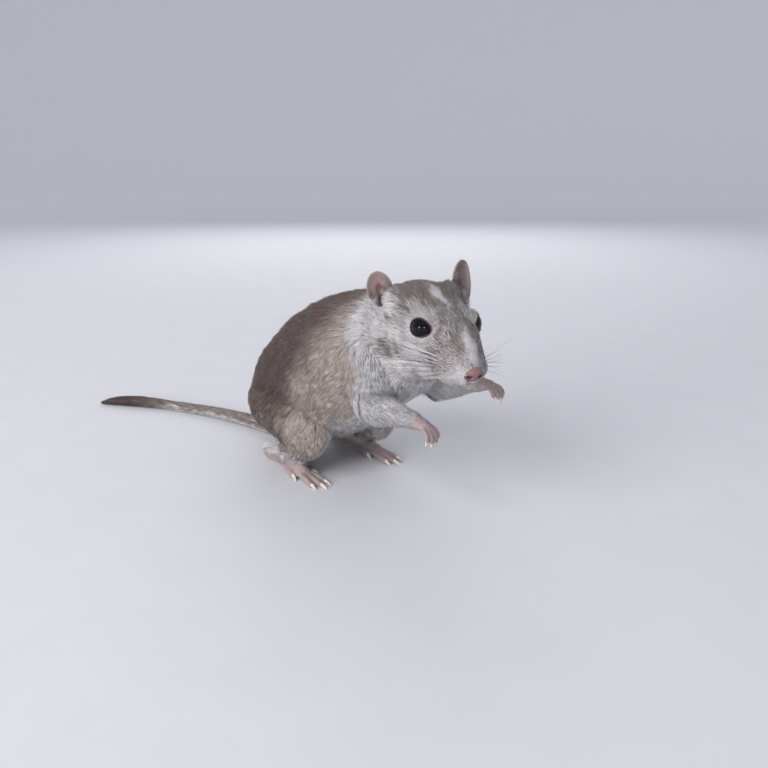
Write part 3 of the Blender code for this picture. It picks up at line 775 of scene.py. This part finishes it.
bare = np.clip(share_of["forepaw"] + share_of["hind_foot"] + share_of["ear"] + nose_bare + lids_bare, 0, 1)

# %% Paint and finish the skin
HAIR_WHITE, HAIR_TAN, HAIR_BROWN = "#e9e6e8", "#d9cac1", "#664b40"
HAIR_TIP = "#2f2626"


def set_colours(mesh, name, values):
    layer = mesh.color_attributes.new(name=name, type="FLOAT_COLOR", domain="POINT")
    layer.data.foreach_set("color", np.ascontiguousarray(values, np.float32).ravel())


# The short hair round the lids lets the darker skin under it through
skin_marks[:, WHITE] *= 0.35 + 0.65 * fade(skin_ring, 1.2, 2.0)
set_colours(skin.data, "marks", np.column_stack([skin_marks, bare, bare]))  # the fourth channel has no use here
set_colours(skin.data, "tones", np.column_stack([share_of["ear"], lids_bare, deep_red, ear_rim]))

skin_finish, tree, shader = new_material("thin_animal_skin", Roughness=0.6, IOR=1.4, **glow(0.1, 1.2, 0.5, 0.3))
marks = channels(tree)[1]
on_ear_rim, tones = channels(tree, "tones")
brown = mix(tree, marks["Green"], HAIR_TAN, HAIR_BROWN)
# Skin under the coat: the hair's tone mixed towards dark grey, painted shade deep in the coat (under brown hair also
# its grey underfur)
under = mix(tree, 0.3, mix(tree, marks["Red"], brown, HAIR_WHITE), "#6a6064")
mottle = texture(tree, "ShaderNodeTexNoise", 900.0, Detail=5.0)
pink = mix(tree, mottle, "#98827f", "#ae9a97")
pink = mix(tree, tones["Red"], pink, mix(tree, mottle, "#7d6c69", "#917f7b"))
pink = mix(tree, on_ear_rim, pink, "#968a85")
colour = mix(tree, marks["Blue"], under, pink)
colour = mix(tree, tones["Blue"], colour, "#6d4a48")
colour = mix(tree, tones["Green"], colour, "#4a3d3f")
pores = texture(tree, "ShaderNodeTexVoronoi", 3300.0, "Distance")
paint(tree, shader, colour, pores, 0.35, 0.06)
skin.data.materials.clear()
skin.data.materials.append(skin_finish)
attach(skin, "root")
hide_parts(*FLESH)
report("skin finished")

# %% [markdown]
# ## The lie of the coat
# Hair grows away from the nose over the face, back along the trunk and down its sides, down the legs to the
# toes, and out along the tail and the ears. Each kind of part has its own direction, and the weights from
# before blend them, so that streams of hair meet without a seam. Round the eyes the hair parts.

# %% Work out the lie of the hair
NOSE_IN_HEAD = (21.0, 0.0, -4.0)
TAIL_PATH = ((-5.0, 7.3, 6.0), (-15.0, 6.3, 3.2), (-31.0, 3.3, 2.4), (-48.0, -2.2, 2.1), (-64.0, -9.7, 1.9),
             (-78.0, -18.7, 2.2), (-87.0, -26.2, 1.6), (-91.0, -30.2, 0.7))
LIMB_LIES = {"upper_arm": (0.25, 0.0, -1.0), "forearm": (1.0, 0.0, -0.1), "forepaw": (1.0, 0.0, -0.35),
             "thigh": (-0.35, 0.0, -1.0), "hind_foot": (1.0, 0.0, 0.0)}
EAR_LIE = (-8.0, 0.0, 12.4)  # in the head's frame
BODY_MIDDLE_Y = 8.28


def lie_of(points, weights, normals, ring):
    """The direction in which the hair lies, along the skin."""
    away = unit(points - from_head(NOSE_IN_HEAD))
    side = points[:, 1] - BODY_MIDDLE_Y
    back = unit(np.array((-0.9, 0.0, -0.42)) - np.array((0.0, 0.0, 1.0)) * (np.abs(side) / 26.0)[:, None])
    tail_points = np.array(TAIL_PATH)
    middles = (tail_points[1:] + tail_points[:-1]) / 2
    nearest = np.argmin(np.linalg.norm(points[:, None] - middles[None], axis=2), axis=1)
    ways = {kind: unit(np.array(way)) for kind, way in LIMB_LIES.items()}
    ways.update(head=away, eye=away, neck=away * 0.6 + back * 0.6, torso=back, rump=back)
    ways["tail"] = unit(np.diff(tail_points, axis=0)[nearest])
    ways["ear"] = unit(np.array(EAR_LIE) @ HEAD_TURN)
    total = sum(ways[kind] * weights[:, i : i + 1] for i, kind in enumerate(KINDS))
    eyes = np.array((left_eye, right_eye))
    own_eye = eyes[np.argmin(np.linalg.norm(points[:, None] - eyes[None], axis=2), axis=1)]
    total = unit(total) + unit(points - own_eye) * (1.8 * (1 - fade(ring, 1.1, 2.4)))[:, None]
    return unit(total - normals * (total * normals).sum(axis=1, keepdims=True))


skin_lie = lie_of(skin_points, kind_weights, skin_normals, skin_ring)
# In the head's frame: middle, radii and how far the tufts there stand free of the skin
STANDING = (
    ("crown", (-12.0, 0.0, 7.0), (9.0, 8.0, 4.0), 0.45),
    ("ear_base_left", (-16.4, 8.6, 5.4), (3.0, 3.0, 3.0), 0.8),
    ("whisker_pad_left", (10.5, 6.4, -2.6), (8.0, 4.0, 5.5), 0.6),
    ("whisker_pad_right", (11.5, -6.6, -5.6), (5.0, 3.0, 3.0), 0.25),
    ("throat", (2.0, 0.0, -14.0), (12.0, 9.0, 4.0), 0.3),
)
FRINGE_LIE = np.array((-0.42, 0.85, -0.30))
FRINGE_LENGTH = 3.3
one = np.ones_like(own_side)
fringe_lie = (FRINGE_LIE * np.column_stack([one, own_side, one])) @ HEAD_TURN
skin_lie = unit(skin_lie * (1 - fringe[:, None]) + fringe_lie * fringe[:, None])
skin_coat[:, 1] += (FRINGE_LENGTH - skin_coat[:, 1]) * fringe
skin_coat[:, 3] *= 1 + 0.5 * fringe
skin_free = fringe
head_and_neck = share_of["head"] + share_of["neck"]
for _name, middle, radii, strength in STANDING:
    skin_free = np.maximum(skin_free, ellipsoid(skin_local, middle, radii) * strength * head_and_neck)
report("lie worked out")

# %% [markdown]
# ## Tufts
# A tuft is a small solid blade for about a dozen hairs. Long ones have three corners at the root, three half
# way and a point. Short ones are plain four-sided spikes. It is sunk a little at the root, bends over the skin
# and lies nearly flat, and its neighbours' tips are drawn together, as a real coat parts into locks. Roots are
# drawn by area, so the cover is even.

# %% Grow the roots
COAT_SHARE = 1.0
WIDER = 1.0 / math.sqrt(COAT_SHARE)


def grow_roots():
    """Roots spread over the skin by area and density, with all that the skin knows there."""
    mesh = skin.data
    mesh.calc_loop_triangles()
    triangles = array_of(mesh.loop_triangles, "vertices", 3, np.int32)
    loops = array_of(mesh.loop_triangles, "loops", 3, np.int32)
    uv = array_of(mesh.uv_layers[MAP_NAME].data, "uv", 2)
    a, b, c = (skin_points[triangles[:, i]] for i in range(3))
    area = np.linalg.norm(np.cross(b - a, c - a), axis=1) / 2
    density = skin_coat[:, 3] * (1 - nose_bare) * (1 - lids_bare) * (1 - 0.5 * lips_bare) * (1 - channel_bare)
    total = np.cumsum(area * density[triangles].mean(axis=1) * COAT_SHARE)
    count = int(total[-1])
    even = (np.arange(count) + rng.random(count)) / count * total[-1]
    chosen = np.searchsorted(total, even).clip(0, len(total) - 1)
    r = rng.random((count, 2))
    flip = r.sum(axis=1) > 1
    r[flip] = 1 - r[flip]
    shares = np.column_stack([1 - r.sum(axis=1), r])[:, :, None]
    report(f"skin area {area.sum():.0f} square mm, {count} tufts")

    def at(values, index=triangles):
        return (values[index[chosen]] * shares).sum(axis=1)

    return {"point": at(skin_points), "normal": unit(at(skin_normals)), "lie": unit(at(skin_lie)),
            "coat": at(skin_coat), "weights": at(kind_weights), "uv": at(uv, loops),
            "ring": at(skin_ring[:, None])[:, 0], "free": at(skin_free[:, None])}


roots = grow_roots()
TUFTS = len(roots["point"])

# %% Bend each tuft over the skin
CLUMP_EVERY = 10  # tufts to a lock
CLUMP_PULL = 0.55
ROOT_SUNK = 0.12
GUARD_SHARE, GUARD_LONGER, GUARD_HIGHER = 0.03, 1.25, 1.18  # the few long hairs that stand out
TUFT_CLEAR = 0.15  # no tuft comes nearer to the floor, mm


def bend_tufts():
    """Half way and end of each tuft, following the skin, with its outward direction and half width."""
    depth, length, half_width = (roots["coat"][:, i] for i in range(3))
    wave = 0.40 * noise_of(roots["point"], 5.0, 4) + 0.34 * noise_of(roots["point"], 1.7, 5)
    turn = wave + rng.normal(0, 0.11, TUFTS)
    across = np.cross(roots["normal"], roots["lie"])
    lie = unit(roots["lie"] * np.cos(turn)[:, None] + across * np.sin(turn)[:, None])
    tail = roots["weights"][:, KINDS.index("tail")]
    length = length * rng.uniform(0.72, 1.12, TUFTS) * (1 + 1.6 * tail * (1 - fade(roots["point"][:, 0], -86.0, -50.0)))
    beside_eye = 1 - fade(roots["ring"], 1.0, 2.1)
    length = length * (1 - 0.6 * beside_eye)
    lift = depth * (0.86 + 0.24 * noise_of(roots["point"], 2.2, 6) + rng.normal(0, 0.09, TUFTS))
    lift = np.maximum((lift + 0.05) * (1 - 0.6 * beside_eye), 0.04)
    trunk = roots["weights"][:, KINDS.index("neck")] + roots["weights"][:, KINDS.index("torso")]
    lift = lift * (1 + 0.35 * trunk * fade(roots["normal"][:, 2], 0.3, 0.9))
    guard = rng.random(TUFTS) < GUARD_SHARE
    length, lift = np.where(guard, length * GUARD_LONGER, length), np.where(guard, lift * GUARD_HIGHER, lift)
    faces = [tuple(face.vertices) for face in skin.data.polygons]
    tree = BVHTree.FromPolygons([tuple(p) for p in skin_points], faces)

    def follow(points, normals):
        found = [tree.find_nearest(p) for p in points + lie * (length * 0.5)[:, None]]
        return np.array([f[0] for f in found]), unit(np.array([f[1] for f in found]) + normals)

    middle, middle_out = follow(roots["point"], roots["normal"])
    end, end_out = follow(middle, middle_out)
    middle = middle + middle_out * (lift * 0.72)[:, None]
    end = end + end_out * lift[:, None]
    free = roots["free"]
    upright = unit(lie + roots["normal"] * 0.35) * length[:, None]
    middle += (roots["point"] + upright * 0.5 - middle) * free
    end += (roots["point"] + upright * 0.95 - end) * free
    return middle, end, middle_out, half_width * rng.uniform(0.8, 1.2, TUFTS) * WIDER


def draw_together(end):
    """Pulls the ends of neighbouring tufts towards one of them."""
    leaders = np.arange(0, TUFTS, CLUMP_EVERY)
    tree = KDTree(len(leaders))
    spots = roots["point"] + roots["normal"] * 3.0  # so that the two sides of a thin ear stay apart
    for i, spot in enumerate(spots[leaders]):
        tree.insert(spot, i)
    tree.balance()
    leader = leaders[[tree.find(spot)[1] for spot in spots]]
    apart = np.linalg.norm(roots["point"] - roots["point"][leader], axis=1) / roots["coat"][:, 1]
    pull = CLUMP_PULL * np.clip(1.5 - 2.0 * apart, 0, 1)
    return end + (end[leader] - end) * pull[:, None], leader


middle, end, outward, half_width = bend_tufts()
end, leader = draw_together(end)
for spots in (middle, end):
    spots[:, 2] = np.maximum(spots[:, 2], TUFT_CLEAR)
report("tufts bent")

# %% [markdown]
# ## The coat's colour
# Each hair of a wild-coloured gerbil is grey at the root, tan in a band and dark at the tip, and a few are
# nearly black. White hair is white all along. Towards the root every hair is also painted darker, as shade deep
# in the coat. Where two areas meet, single white and brown hairs are mixed.
# Every tuft carries its markings, its place along the hair and a number drawn by luck, lowered on short hair
# for the skin showing through and for painted shade on the face, and one material turns them into colour.

# %% Finish of the hair
hair_finish, tree, shader = new_material(
    "short_animal_hair", Roughness=0.6, IOR=1.5,
    **{"Specular IOR Level": 0.3, "Sheen Weight": 0.10, "Sheen Roughness": 0.4})
by_luck, marks = channels(tree)
along = marks["Blue"]
brown = mix(tree, marks["Green"], HAIR_TAN, HAIR_BROWN)
tip_share = times(tree, in_span(tree, along, (0.40, 1.0), (0.0, 0.9), "SMOOTHSTEP"), marks["Green"])
colour = mix(tree, marks["Red"], mix(tree, tip_share, brown, HAIR_TIP), HAIR_WHITE)
# Towards the root the hair is painted greyer and darker: shade deep in the coat, and on brown hair its grey base too
root_share = in_span(tree, along, (0.0, 0.6), (0.42, 0.0), "SMOOTHSTEP")
root_grey_and_shade = mix(tree, marks["Red"], "#6f6468", "#bcb7bb")
colour = mix(tree, root_share, colour, root_grey_and_shade)
streaks = in_span(tree, texture(tree, "ShaderNodeTexNoise", 420.0, Detail=3.0), (0.0, 1.0), (0.86, 1.14))
value = times(tree, in_span(tree, by_luck, (0.0, 1.0), (0.62, 1.16)), streaks)
shade = add_node(tree, "ShaderNodeHueSaturation", inputs={"Value": value, "Color": colour})
paint(tree, shader, shade.outputs["Color"])

# %% Colour each tuft
MIXED_HAIRS = 9.6  # how sharply a single hair is white or brown where the marking is between the two
SHORT_HAIR_DARKER = 0.42  # how much darker short hair is painted: partly the skin showing through, partly painted shade on the face
BLACK_SHARE, BLACKER = 0.10, 0.45


def by_lock(middle, size_mm, seed):
    """A number drawn by luck for each tuft, partly the same for the tufts of one lock."""
    return middle + 0.30 * noise_of(roots["point"][leader], size_mm, seed) + 0.20 * rng.normal(size=TUFTS)


root_marks = markings(roots["point"], roots["weights"])
draw = by_lock(0.5, 1.1, 8)
white = root_marks[:, WHITE]
root_marks[:, WHITE] = np.clip((white - draw) * MIXED_HAIRS * white * (1 - white) + white, 0, 1)
luck = by_lock(0.52, 0.9, 9)
# Short hair is painted darker: partly the skin showing through it, partly painted shade on the face
short_hair_darkening = (1 - fade(roots["coat"][:, 1], 1.0, 3.0)) * (1 - 0.75 * fade(white, 0.85, 1.0))
luck = np.clip(luck - SHORT_HAIR_DARKER * short_hair_darkening, 0, 1)
black = rng.random(TUFTS) < BLACK_SHARE * (1 - white)
root_marks[black, DARK] = np.clip(root_marks[black, DARK] + BLACKER, 0, 1)
report("tufts coloured")

# %% Build the coat pieces
PIECE_TRIANGLES = 195000
PATCH = 0.003
COAT_GROUPS = (
    ("coat_face", ("head", "ear", "eye"), False, "brown_fur"),
    ("coat_neck", ("neck",), True, "white_fur"),
    ("coat_back", ("torso",), True, "brown_fur"),
    ("coat_rump", ("rump", "thigh"), True, "brown_fur"),
    ("coat_tail_and_feet", ("tail", "hind_foot"), False, "brown_fur"),
    ("coat_shoulders", ("upper_arm",), True, "white_fur"),
    ("coat_forelegs", ("forearm", "forepaw"), False, "white_fur"),
)
# Corners 0 to 2 are the root, 3 to 5 half way and 6 the point; in a short tuft 3 is the point
BENT = np.array(((0, 2, 1), (0, 1, 4), (0, 4, 3), (1, 2, 5), (1, 5, 4), (2, 0, 3), (2, 3, 5), (3, 4, 6), (4, 5, 6),
                 (5, 3, 6)))
SPIKE = np.array(((0, 2, 1), (0, 1, 3), (1, 2, 3), (2, 0, 3)))
PATCH_CORNERS = np.array(((-1, -1), (0, -1), (1, -1), (-1, 0), (0, 0), (1, 0), (0, 1))) * PATCH / 2


def mesh_of(name, points, triangles):
    """A mesh from arrays of corners in mm and of triangles."""
    mesh = bpy.data.meshes.new(name)
    mesh.vertices.add(len(points))
    mesh.vertices.foreach_set("co", np.ascontiguousarray(points * MM, np.float32).ravel())
    mesh.loops.add(triangles.size)
    mesh.loops.foreach_set("vertex_index", triangles.astype(np.int32).ravel())
    mesh.polygons.add(len(triangles))
    mesh.polygons.foreach_set("loop_start", np.arange(0, triangles.size, 3, dtype=np.int32))
    mesh.update(calc_edges=True)
    mesh.shade_smooth()
    return mesh


def tuft_mesh(name, which, bent):
    """One mesh of the chosen tufts, with their colours and their map."""
    start = roots["point"][which] - roots["normal"][which] * ROOT_SUNK
    mid, tip, out = middle[which], end[which], outward[which]
    wide = half_width[which][:, None]
    across = unit(np.cross(tip - start, out)) * wide
    over = out * wide * 0.55
    rows = [start - across, start + over, start + across]
    if bent:
        rows += [mid - across * 0.85, mid + over * 0.9, mid + across * 0.85]
    rows.append(tip)
    faces, corners = (BENT, 7) if bent else (SPIKE, 4)
    triangles = (faces[None] + (np.arange(len(which)) * corners)[:, None, None]).reshape(-1, 3)
    mesh = mesh_of(name, np.stack(rows, axis=1).reshape(-1, 3), triangles)
    along = np.tile((0, 0, 0, 0.5, 0.5, 0.5, 1) if bent else (0.3, 0.3, 0.3, 1), len(which))
    colours = np.column_stack([np.repeat(root_marks[which], corners, axis=0), along, np.repeat(luck[which], corners)])
    set_colours(mesh, "marks", colours)
    patch = PATCH_CORNERS if bent else PATCH_CORNERS[[0, 1, 2, 6]]
    uv = (roots["uv"][which][:, None] + patch[None]).reshape(-1, 2)
    mesh.uv_layers.new(name=MAP_NAME).data.foreach_set("uv", uv[triangles.ravel()].astype(np.float32).ravel())
    return mesh


kind_of_root = np.argmax(roots["weights"], axis=1)
coat_triangles = 0
for group, kinds, bent, slot in COAT_GROUPS:
    members = np.flatnonzero(np.isin(kind_of_root, [KINDS.index(kind) for kind in kinds]))
    each = len(BENT) if bent else len(SPIKE)
    pieces = max(1, math.ceil(len(members) * each / PIECE_TRIANGLES))
    for i, which in enumerate(np.array_split(members, pieces), 1):
        add_piece(f"{group}_{i}", tuft_mesh(f"{group}_{i}", which, bent), hair_finish)
    coat_triangles += len(members) * each
    report(f"{group}: {len(members)} tufts in {pieces} pieces")
report(f"coat has {coat_triangles} triangles")

# %% [markdown]
# ## Eyes
# A gerbil's eye is a large, dark, wet ball. The iris is so deep a brown that it reads as black, and the cornea
# gives it small sharp highlights. The ball keeps the place and size of the solid, in a finer mesh, and a thin
# dark rim of bare lid runs round the opening.


# %% Helpers for balls and tubes
def ball_mesh(name, centre, radius, segments=64, rings=40):
    """A ball. Its faces are sorted, because the tool that makes them gives a new order each time."""
    bm = bmesh.new()
    bmesh.ops.create_uvsphere(bm, u_segments=segments, v_segments=rings, radius=radius * MM)
    bmesh.ops.translate(bm, vec=Vector(centre) * MM, verts=bm.verts)
    bm.verts.index_update()
    faces = [[vert.index for vert in face.verts] for face in bm.faces]
    faces = sorted(face[face.index(min(face)) :] + face[: face.index(min(face))] for face in faces)
    mesh = bpy.data.meshes.new(name)
    mesh.from_pydata([vert.co for vert in bm.verts], [], faces)
    bm.free()
    mesh.shade_smooth()
    return mesh


def tubes(paths, sides=8, closed=False):
    """Corners and triangles of round tubes along paths of x, y, z and radius, in mm, capped at the ends."""
    points, triangles, base = [], [], 0
    for path in paths:
        path = np.asarray(path, float)
        rows = len(path)
        spots = path[:, :3]
        ways = np.roll(spots, -1, axis=0) - np.roll(spots, 1, axis=0) if closed else np.gradient(spots, axis=0)
        ways = unit(ways)
        helper = (0.0, 0.0, 1.0) if np.abs(ways[:, 2]).mean() < 0.8 else (1.0, 0.0, 0.0)
        u = unit(np.cross(ways, helper))
        v = np.cross(ways, u)
        angles = 2 * np.pi * np.arange(sides) / sides
        ring = u[:, None] * np.cos(angles)[None, :, None] + v[:, None] * np.sin(angles)[None, :, None]
        points.append((spots[:, None] + ring * path[:, 3][:, None, None]).reshape(-1, 3))
        for i in range(rows if closed else rows - 1):
            for k in range(sides):
                a, b = i * sides + k, i * sides + (k + 1) % sides
                c, d = (i + 1) % rows * sides + k, (i + 1) % rows * sides + (k + 1) % sides
                triangles += [(base + a, base + b, base + c), (base + b, base + d, base + c)]
        for start, order in () if closed else ((0, -1), ((rows - 1) * sides, 1)):
            for k in range(1, sides - 1):
                triangles.append((base + start, base + start + k, base + start + k + 1)[::order])
        base += rows * sides
    return np.vstack(points), np.array(triangles)


# %% Make the eyes and the rims of the lids
eye_finish, tree, shader = new_material("wet_dark_eye", Roughness=0.05, IOR=1.34)
fibres = texture(tree, "ShaderNodeTexNoise", 1500.0, Detail=4.0)
paint(tree, shader, mix(tree, fibres, "#050508", "#0d0b10"))

rim_finish, tree, shader = new_material("bare_lid_rim", Roughness=0.35, IOR=1.4)
mottle = texture(tree, "ShaderNodeTexNoise", 2500.0)
paint(tree, shader, mix(tree, mottle, "#1d181c", "#393034"))
RIM_POINTS, RIM_RADIUS, RIM_PROUD = 72, 0.20, 0.10

for side, word in SIDES.items():
    centre, out, forward, up = eye_axes(side)
    eye = add_piece(f"eye_ball_{word}", ball_mesh(f"eye_ball_{word}", centre, EYE_RADIUS), eye_finish)
    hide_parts(f"eye_{word}")
    turn = np.linspace(0, 2 * np.pi, RIM_POINTS, endpoint=False)
    ahead = np.cos(turn) * lid_reach(side, np.cos(turn), np.sin(turn))[0]
    above = np.sin(turn) * lid_reach(side, ahead, np.sin(turn))[1]
    height = np.sqrt(np.maximum((EYE_RADIUS + RIM_PROUD) ** 2 - ahead**2 - above**2, 0.3))
    path = centre + forward * ahead[:, None] + up * above[:, None] + out * height[:, None]
    path = np.column_stack([path, np.full(RIM_POINTS, RIM_RADIUS)])
    rim = mesh_of(f"lid_rim_{word}", *tubes([path], 10, closed=True))
    add_piece(f"lid_rim_{word}", rim, rim_finish)
report("eyes made")

# %% [markdown]
# ## Nose
# The nose pad is bare, pink-brown and finely grained, with two comma-shaped nostrils and a groove down its
# middle. It is a finely divided ball pressed in at those places, and set over the solid's plain pad.

# %% Make the nose pad
NOSE_MIDDLE = (18.25, 0.45, -4.45)
NOSE_RADII = (1.75, 2.75, 2.0)


def press(points, middle, size, depth, way):
    """Presses points in at one place."""
    r = (((points - middle) / size) ** 2).sum(axis=1)
    return points + np.array(way) * (depth * np.exp(-r))[:, None]


nose_mesh = ball_mesh("nose_pad", (0, 0, 0), 1.0, 96, 72)
nose_points = array_of(nose_mesh.vertices, "co", 3) / MM * NOSE_RADII
for side in SIDES:
    nose_points = press(nose_points, (1.2, side * 1.25, -0.25), (1.2, 0.55, 0.46), 0.95, (-1.0, 0.0, 0.1))
    nose_points = press(nose_points, (0.8, side * 2.05, 0.0), (0.9, 0.55, 0.32), 0.7, (-0.6, -side * 0.6, 0.0))
nose_points = press(nose_points, (1.5, 0.0, -0.9), (1.2, 0.22, 1.2), 0.34, (-1.0, 0.0, 0.0))
nose_mesh.vertices.foreach_set("co", (from_head(nose_points + NOSE_MIDDLE) * MM).ravel())
nose_mesh.update()
holes = [np.linalg.norm((nose_points - (1.0, side * 1.5, -0.2)) / (0.9, 0.85, 0.5), axis=1) for side in SIDES]
# Dark in the nostrils: painted shade for their hollows, which the shallow presses do not make
nostril_shade = 1 - fade(np.minimum(*holes), 0.7, 1.4)
from_middle = np.linalg.norm(nose_points[:, 1:] / NOSE_RADII[1:], axis=1)
nose_edge = fade(from_middle - 0.45 * nose_points[:, 2] / NOSE_RADII[2], 0.65, 1.1)
set_colours(nose_mesh, "marks", np.column_stack([nostril_shade, nose_edge, nostril_shade, nostril_shade]))
nose_finish, tree, shader = new_material("bare_nose_skin", Roughness=0.45, IOR=1.4, **glow(0.12, 1.0, 0.4, 0.3))
marks = channels(tree)[1]
grain = texture(tree, "ShaderNodeTexVoronoi", 4000.0, "Distance")
tone = mix(tree, grain, "#806260", "#957774")
tone = mix(tree, marks["Green"], tone, "#623d3c")
# Painted shade in the nostrils
tone = mix(tree, marks["Red"], tone, "#4a2a2a")
paint(tree, shader, tone, grain, 0.5, 0.05)
add_piece("nose_pad", nose_mesh, nose_finish)
report("nose made")

# %% [markdown]
# ## Claws
# Each finger and toe ends in a narrow curved claw of translucent horn, pale with a pinker quick. The numbers of
# the fingers and toes are the source's own, so each claw grows from the tip of its finger. Real claws are thin
# cones bent downward, so a tube whose radius shrinks along a bent path gives their shape directly.

# %% Grow the claws
# Side: the end of the forearm and the wrist. Between them they give the way that the paw points
WRISTS = {-1: ((53.0, -11.8, 32.2), (60.5, -10.6, 31.8)), 1: ((53.0, 13.8, 35.6), (60.5, 14.6, 37.6))}
FINGERS = ((-1.8, 3.4, -14), (-0.65, 4.3, -4), (0.65, 4.3, 5), (1.8, 3.4, 15))  # across, length, turn
# X and Y of the root, length, turn
TOES = ((7.5, 12.7, 5.0, -14), (13.2, 13.6, 7.6, -6), (14.0, 15.3, 8.4, 0), (13.2, 17.0, 7.6, 7), (6.0, 17.4, 5.2, 14))


def claw_path(base, length, turn, droop, radius, origin, axes):
    """A bent, pointed path from the tip of one finger or toe."""
    turn, droop = math.radians(turn), math.radians(droop)
    ahead, down = np.array((math.cos(turn), math.sin(turn), 0.0)), np.array((0.0, 0.0, -1.0))
    spot, bend = np.array(base, float), 0.0
    for share in (0.0, 0.35, 0.35, 0.3):
        spot = spot + (ahead * math.cos(bend) + down * math.sin(bend)) * length * share
        bend += droop
    spot = spot + np.array((0, 0, radius * 0.3)) - ahead * radius * 0.35
    path, bend = [], bend - 0.35
    for i, width in enumerate((0.52, 0.56, 0.50, 0.42, 0.32, 0.20, 0.08)):
        at = origin + spot @ axes
        path.append((at[0], at[1], max(at[2], width * radius), width * radius))
        spot = spot + (ahead * math.cos(bend) + down * math.sin(bend)) * radius * 0.52
        bend += 0.16
    return path


claws = {"forepaw_claws": [], "hind_foot_claws": []}
for side, (arm_end, wrist) in WRISTS.items():
    way = unit(unit(np.subtract(wrist, arm_end)) + (0.3, 0, -0.12))
    left = unit(np.cross((0, 0, 1), way))
    axes = np.array((way, left, np.cross(way, left)))
    origin = np.add(wrist, PART_SHIFT)
    for across, length, turn in FINGERS:
        path = claw_path((5.0, across, -0.4), length, turn, 24, 0.75, origin, axes)
        claws["forepaw_claws"].append(path)
    for x, y, length, turn in TOES:
        path = claw_path((x, y * side, 1.35), length, turn * side, 4, 1.2, PART_SHIFT * (1, 1, 0), np.eye(3))
        claws["hind_foot_claws"].append(path)
horn_finish, tree, shader = new_material("pale_claw_horn", Roughness=0.3, IOR=1.54, **glow(0.2, 0.6, 0.4, 0.3))
growth = texture(tree, "ShaderNodeTexNoise", 1800.0, Detail=3.0)
paint(tree, shader, mix(tree, growth, "#c9b8ae", "#ece4dd"))
for name, paths in claws.items():
    slot = "paw_skin" if name.startswith("forepaw") else "foot_skin"
    add_piece(name, mesh_of(name, *tubes(paths, 10)), horn_finish)
report("claws made")

# %% [markdown]
# ## Whiskers
# Whiskers stand in rows on each side of the muzzle, short in front and long behind. Real ones are 0.1 mm thick
# or less. They are drawn a little thicker, so that they still show at this picture's size. Those on the near
# side are swept back along the cheek, and those on the far side stand out.

# %% Grow the whiskers
WHISKER_ROWS, WHISKER_COLUMNS = 5, 5
WHISKER_RINGS, WHISKER_CORNERS = 12, 5
WHISKER_RADIUS = 0.055
DARK_SHARE = {1: 0.15, -1: 0.6}  # of the whiskers
WHISKER_LENGTHS = {1: (5.5, 2.2), -1: (7.0, 3.4)}  # of the front column, and what each column behind it adds
SWEEPS = {1: ((0.10, 0.95, 0.42), (-0.20, 0.0, -0.24)), -1: ((-0.55, -0.80, 0.22), (-0.12, 0.0, -0.16))}


def whisker_paths(side):
    """Tapered, slightly bent paths. The first way is that of the front top whisker, the second what a step adds."""
    first, step = (np.array(v) for v in SWEEPS[side])
    shortest, longer = WHISKER_LENGTHS[side]
    paths = []
    for row in range(WHISKER_ROWS):
        for column in range(WHISKER_COLUMNS - (row in (0, 4))):
            spot = from_head((15.8 - 1.5 * column - 0.3 * row, side * 6.5, -2.6 - 1.1 * row))
            start = nearest_on_skin(spot)
            way = unit((first + step * (column * 0.5, 0, row)) + rng.normal(0, 0.07, 3)) @ HEAD_TURN
            length = (shortest + longer * column) * rng.uniform(0.85, 1.1)
            t = np.linspace(0, 1, WHISKER_RINGS)[:, None]
            sag = np.array((-0.14, 0.0, -0.10)) @ HEAD_TURN
            path = start + (way * t + sag * t**2) * length
            paths.append(np.column_stack([path, WHISKER_RADIUS * (1.0 - 0.8 * t[:, 0])]))
    return paths


whisker_finish, tree, shader = new_material("stiff_whisker_hair", Roughness=0.4, IOR=1.5)
marks = channels(tree)[1]
paint(tree, shader, mix(tree, marks["Red"], "#f2eeee", "#4f4547"))
for side, word in SIDES.items():
    paths = whisker_paths(side)
    whiskers = mesh_of(f"whiskers_{word}", *tubes(paths, WHISKER_CORNERS))
    dark = rng.random(len(paths)) < DARK_SHARE[side]
    darkness = np.repeat(dark, WHISKER_RINGS * WHISKER_CORNERS).astype(float)
    set_colours(whiskers, "marks", np.column_stack([darkness] * 4))
    add_piece(f"whiskers_{word}", whiskers, whisker_finish)
report("whiskers made")

# %% [markdown]
# ## Size
# The visual model has to stay as large as the solids. Their box and its own are kept side by side, in metres,
# and the difference is printed in millimetres.

# %% Compare the sizes and finish
size = {"cad": box_at_load, "visual": [list(corner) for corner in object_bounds()]}
grown = [[round((v - c) / MM, 1) for v, c in zip(*pair)] for pair in zip(size["visual"], size["cad"])]
report(f"the model stands proud of the solids by {grown} mm")
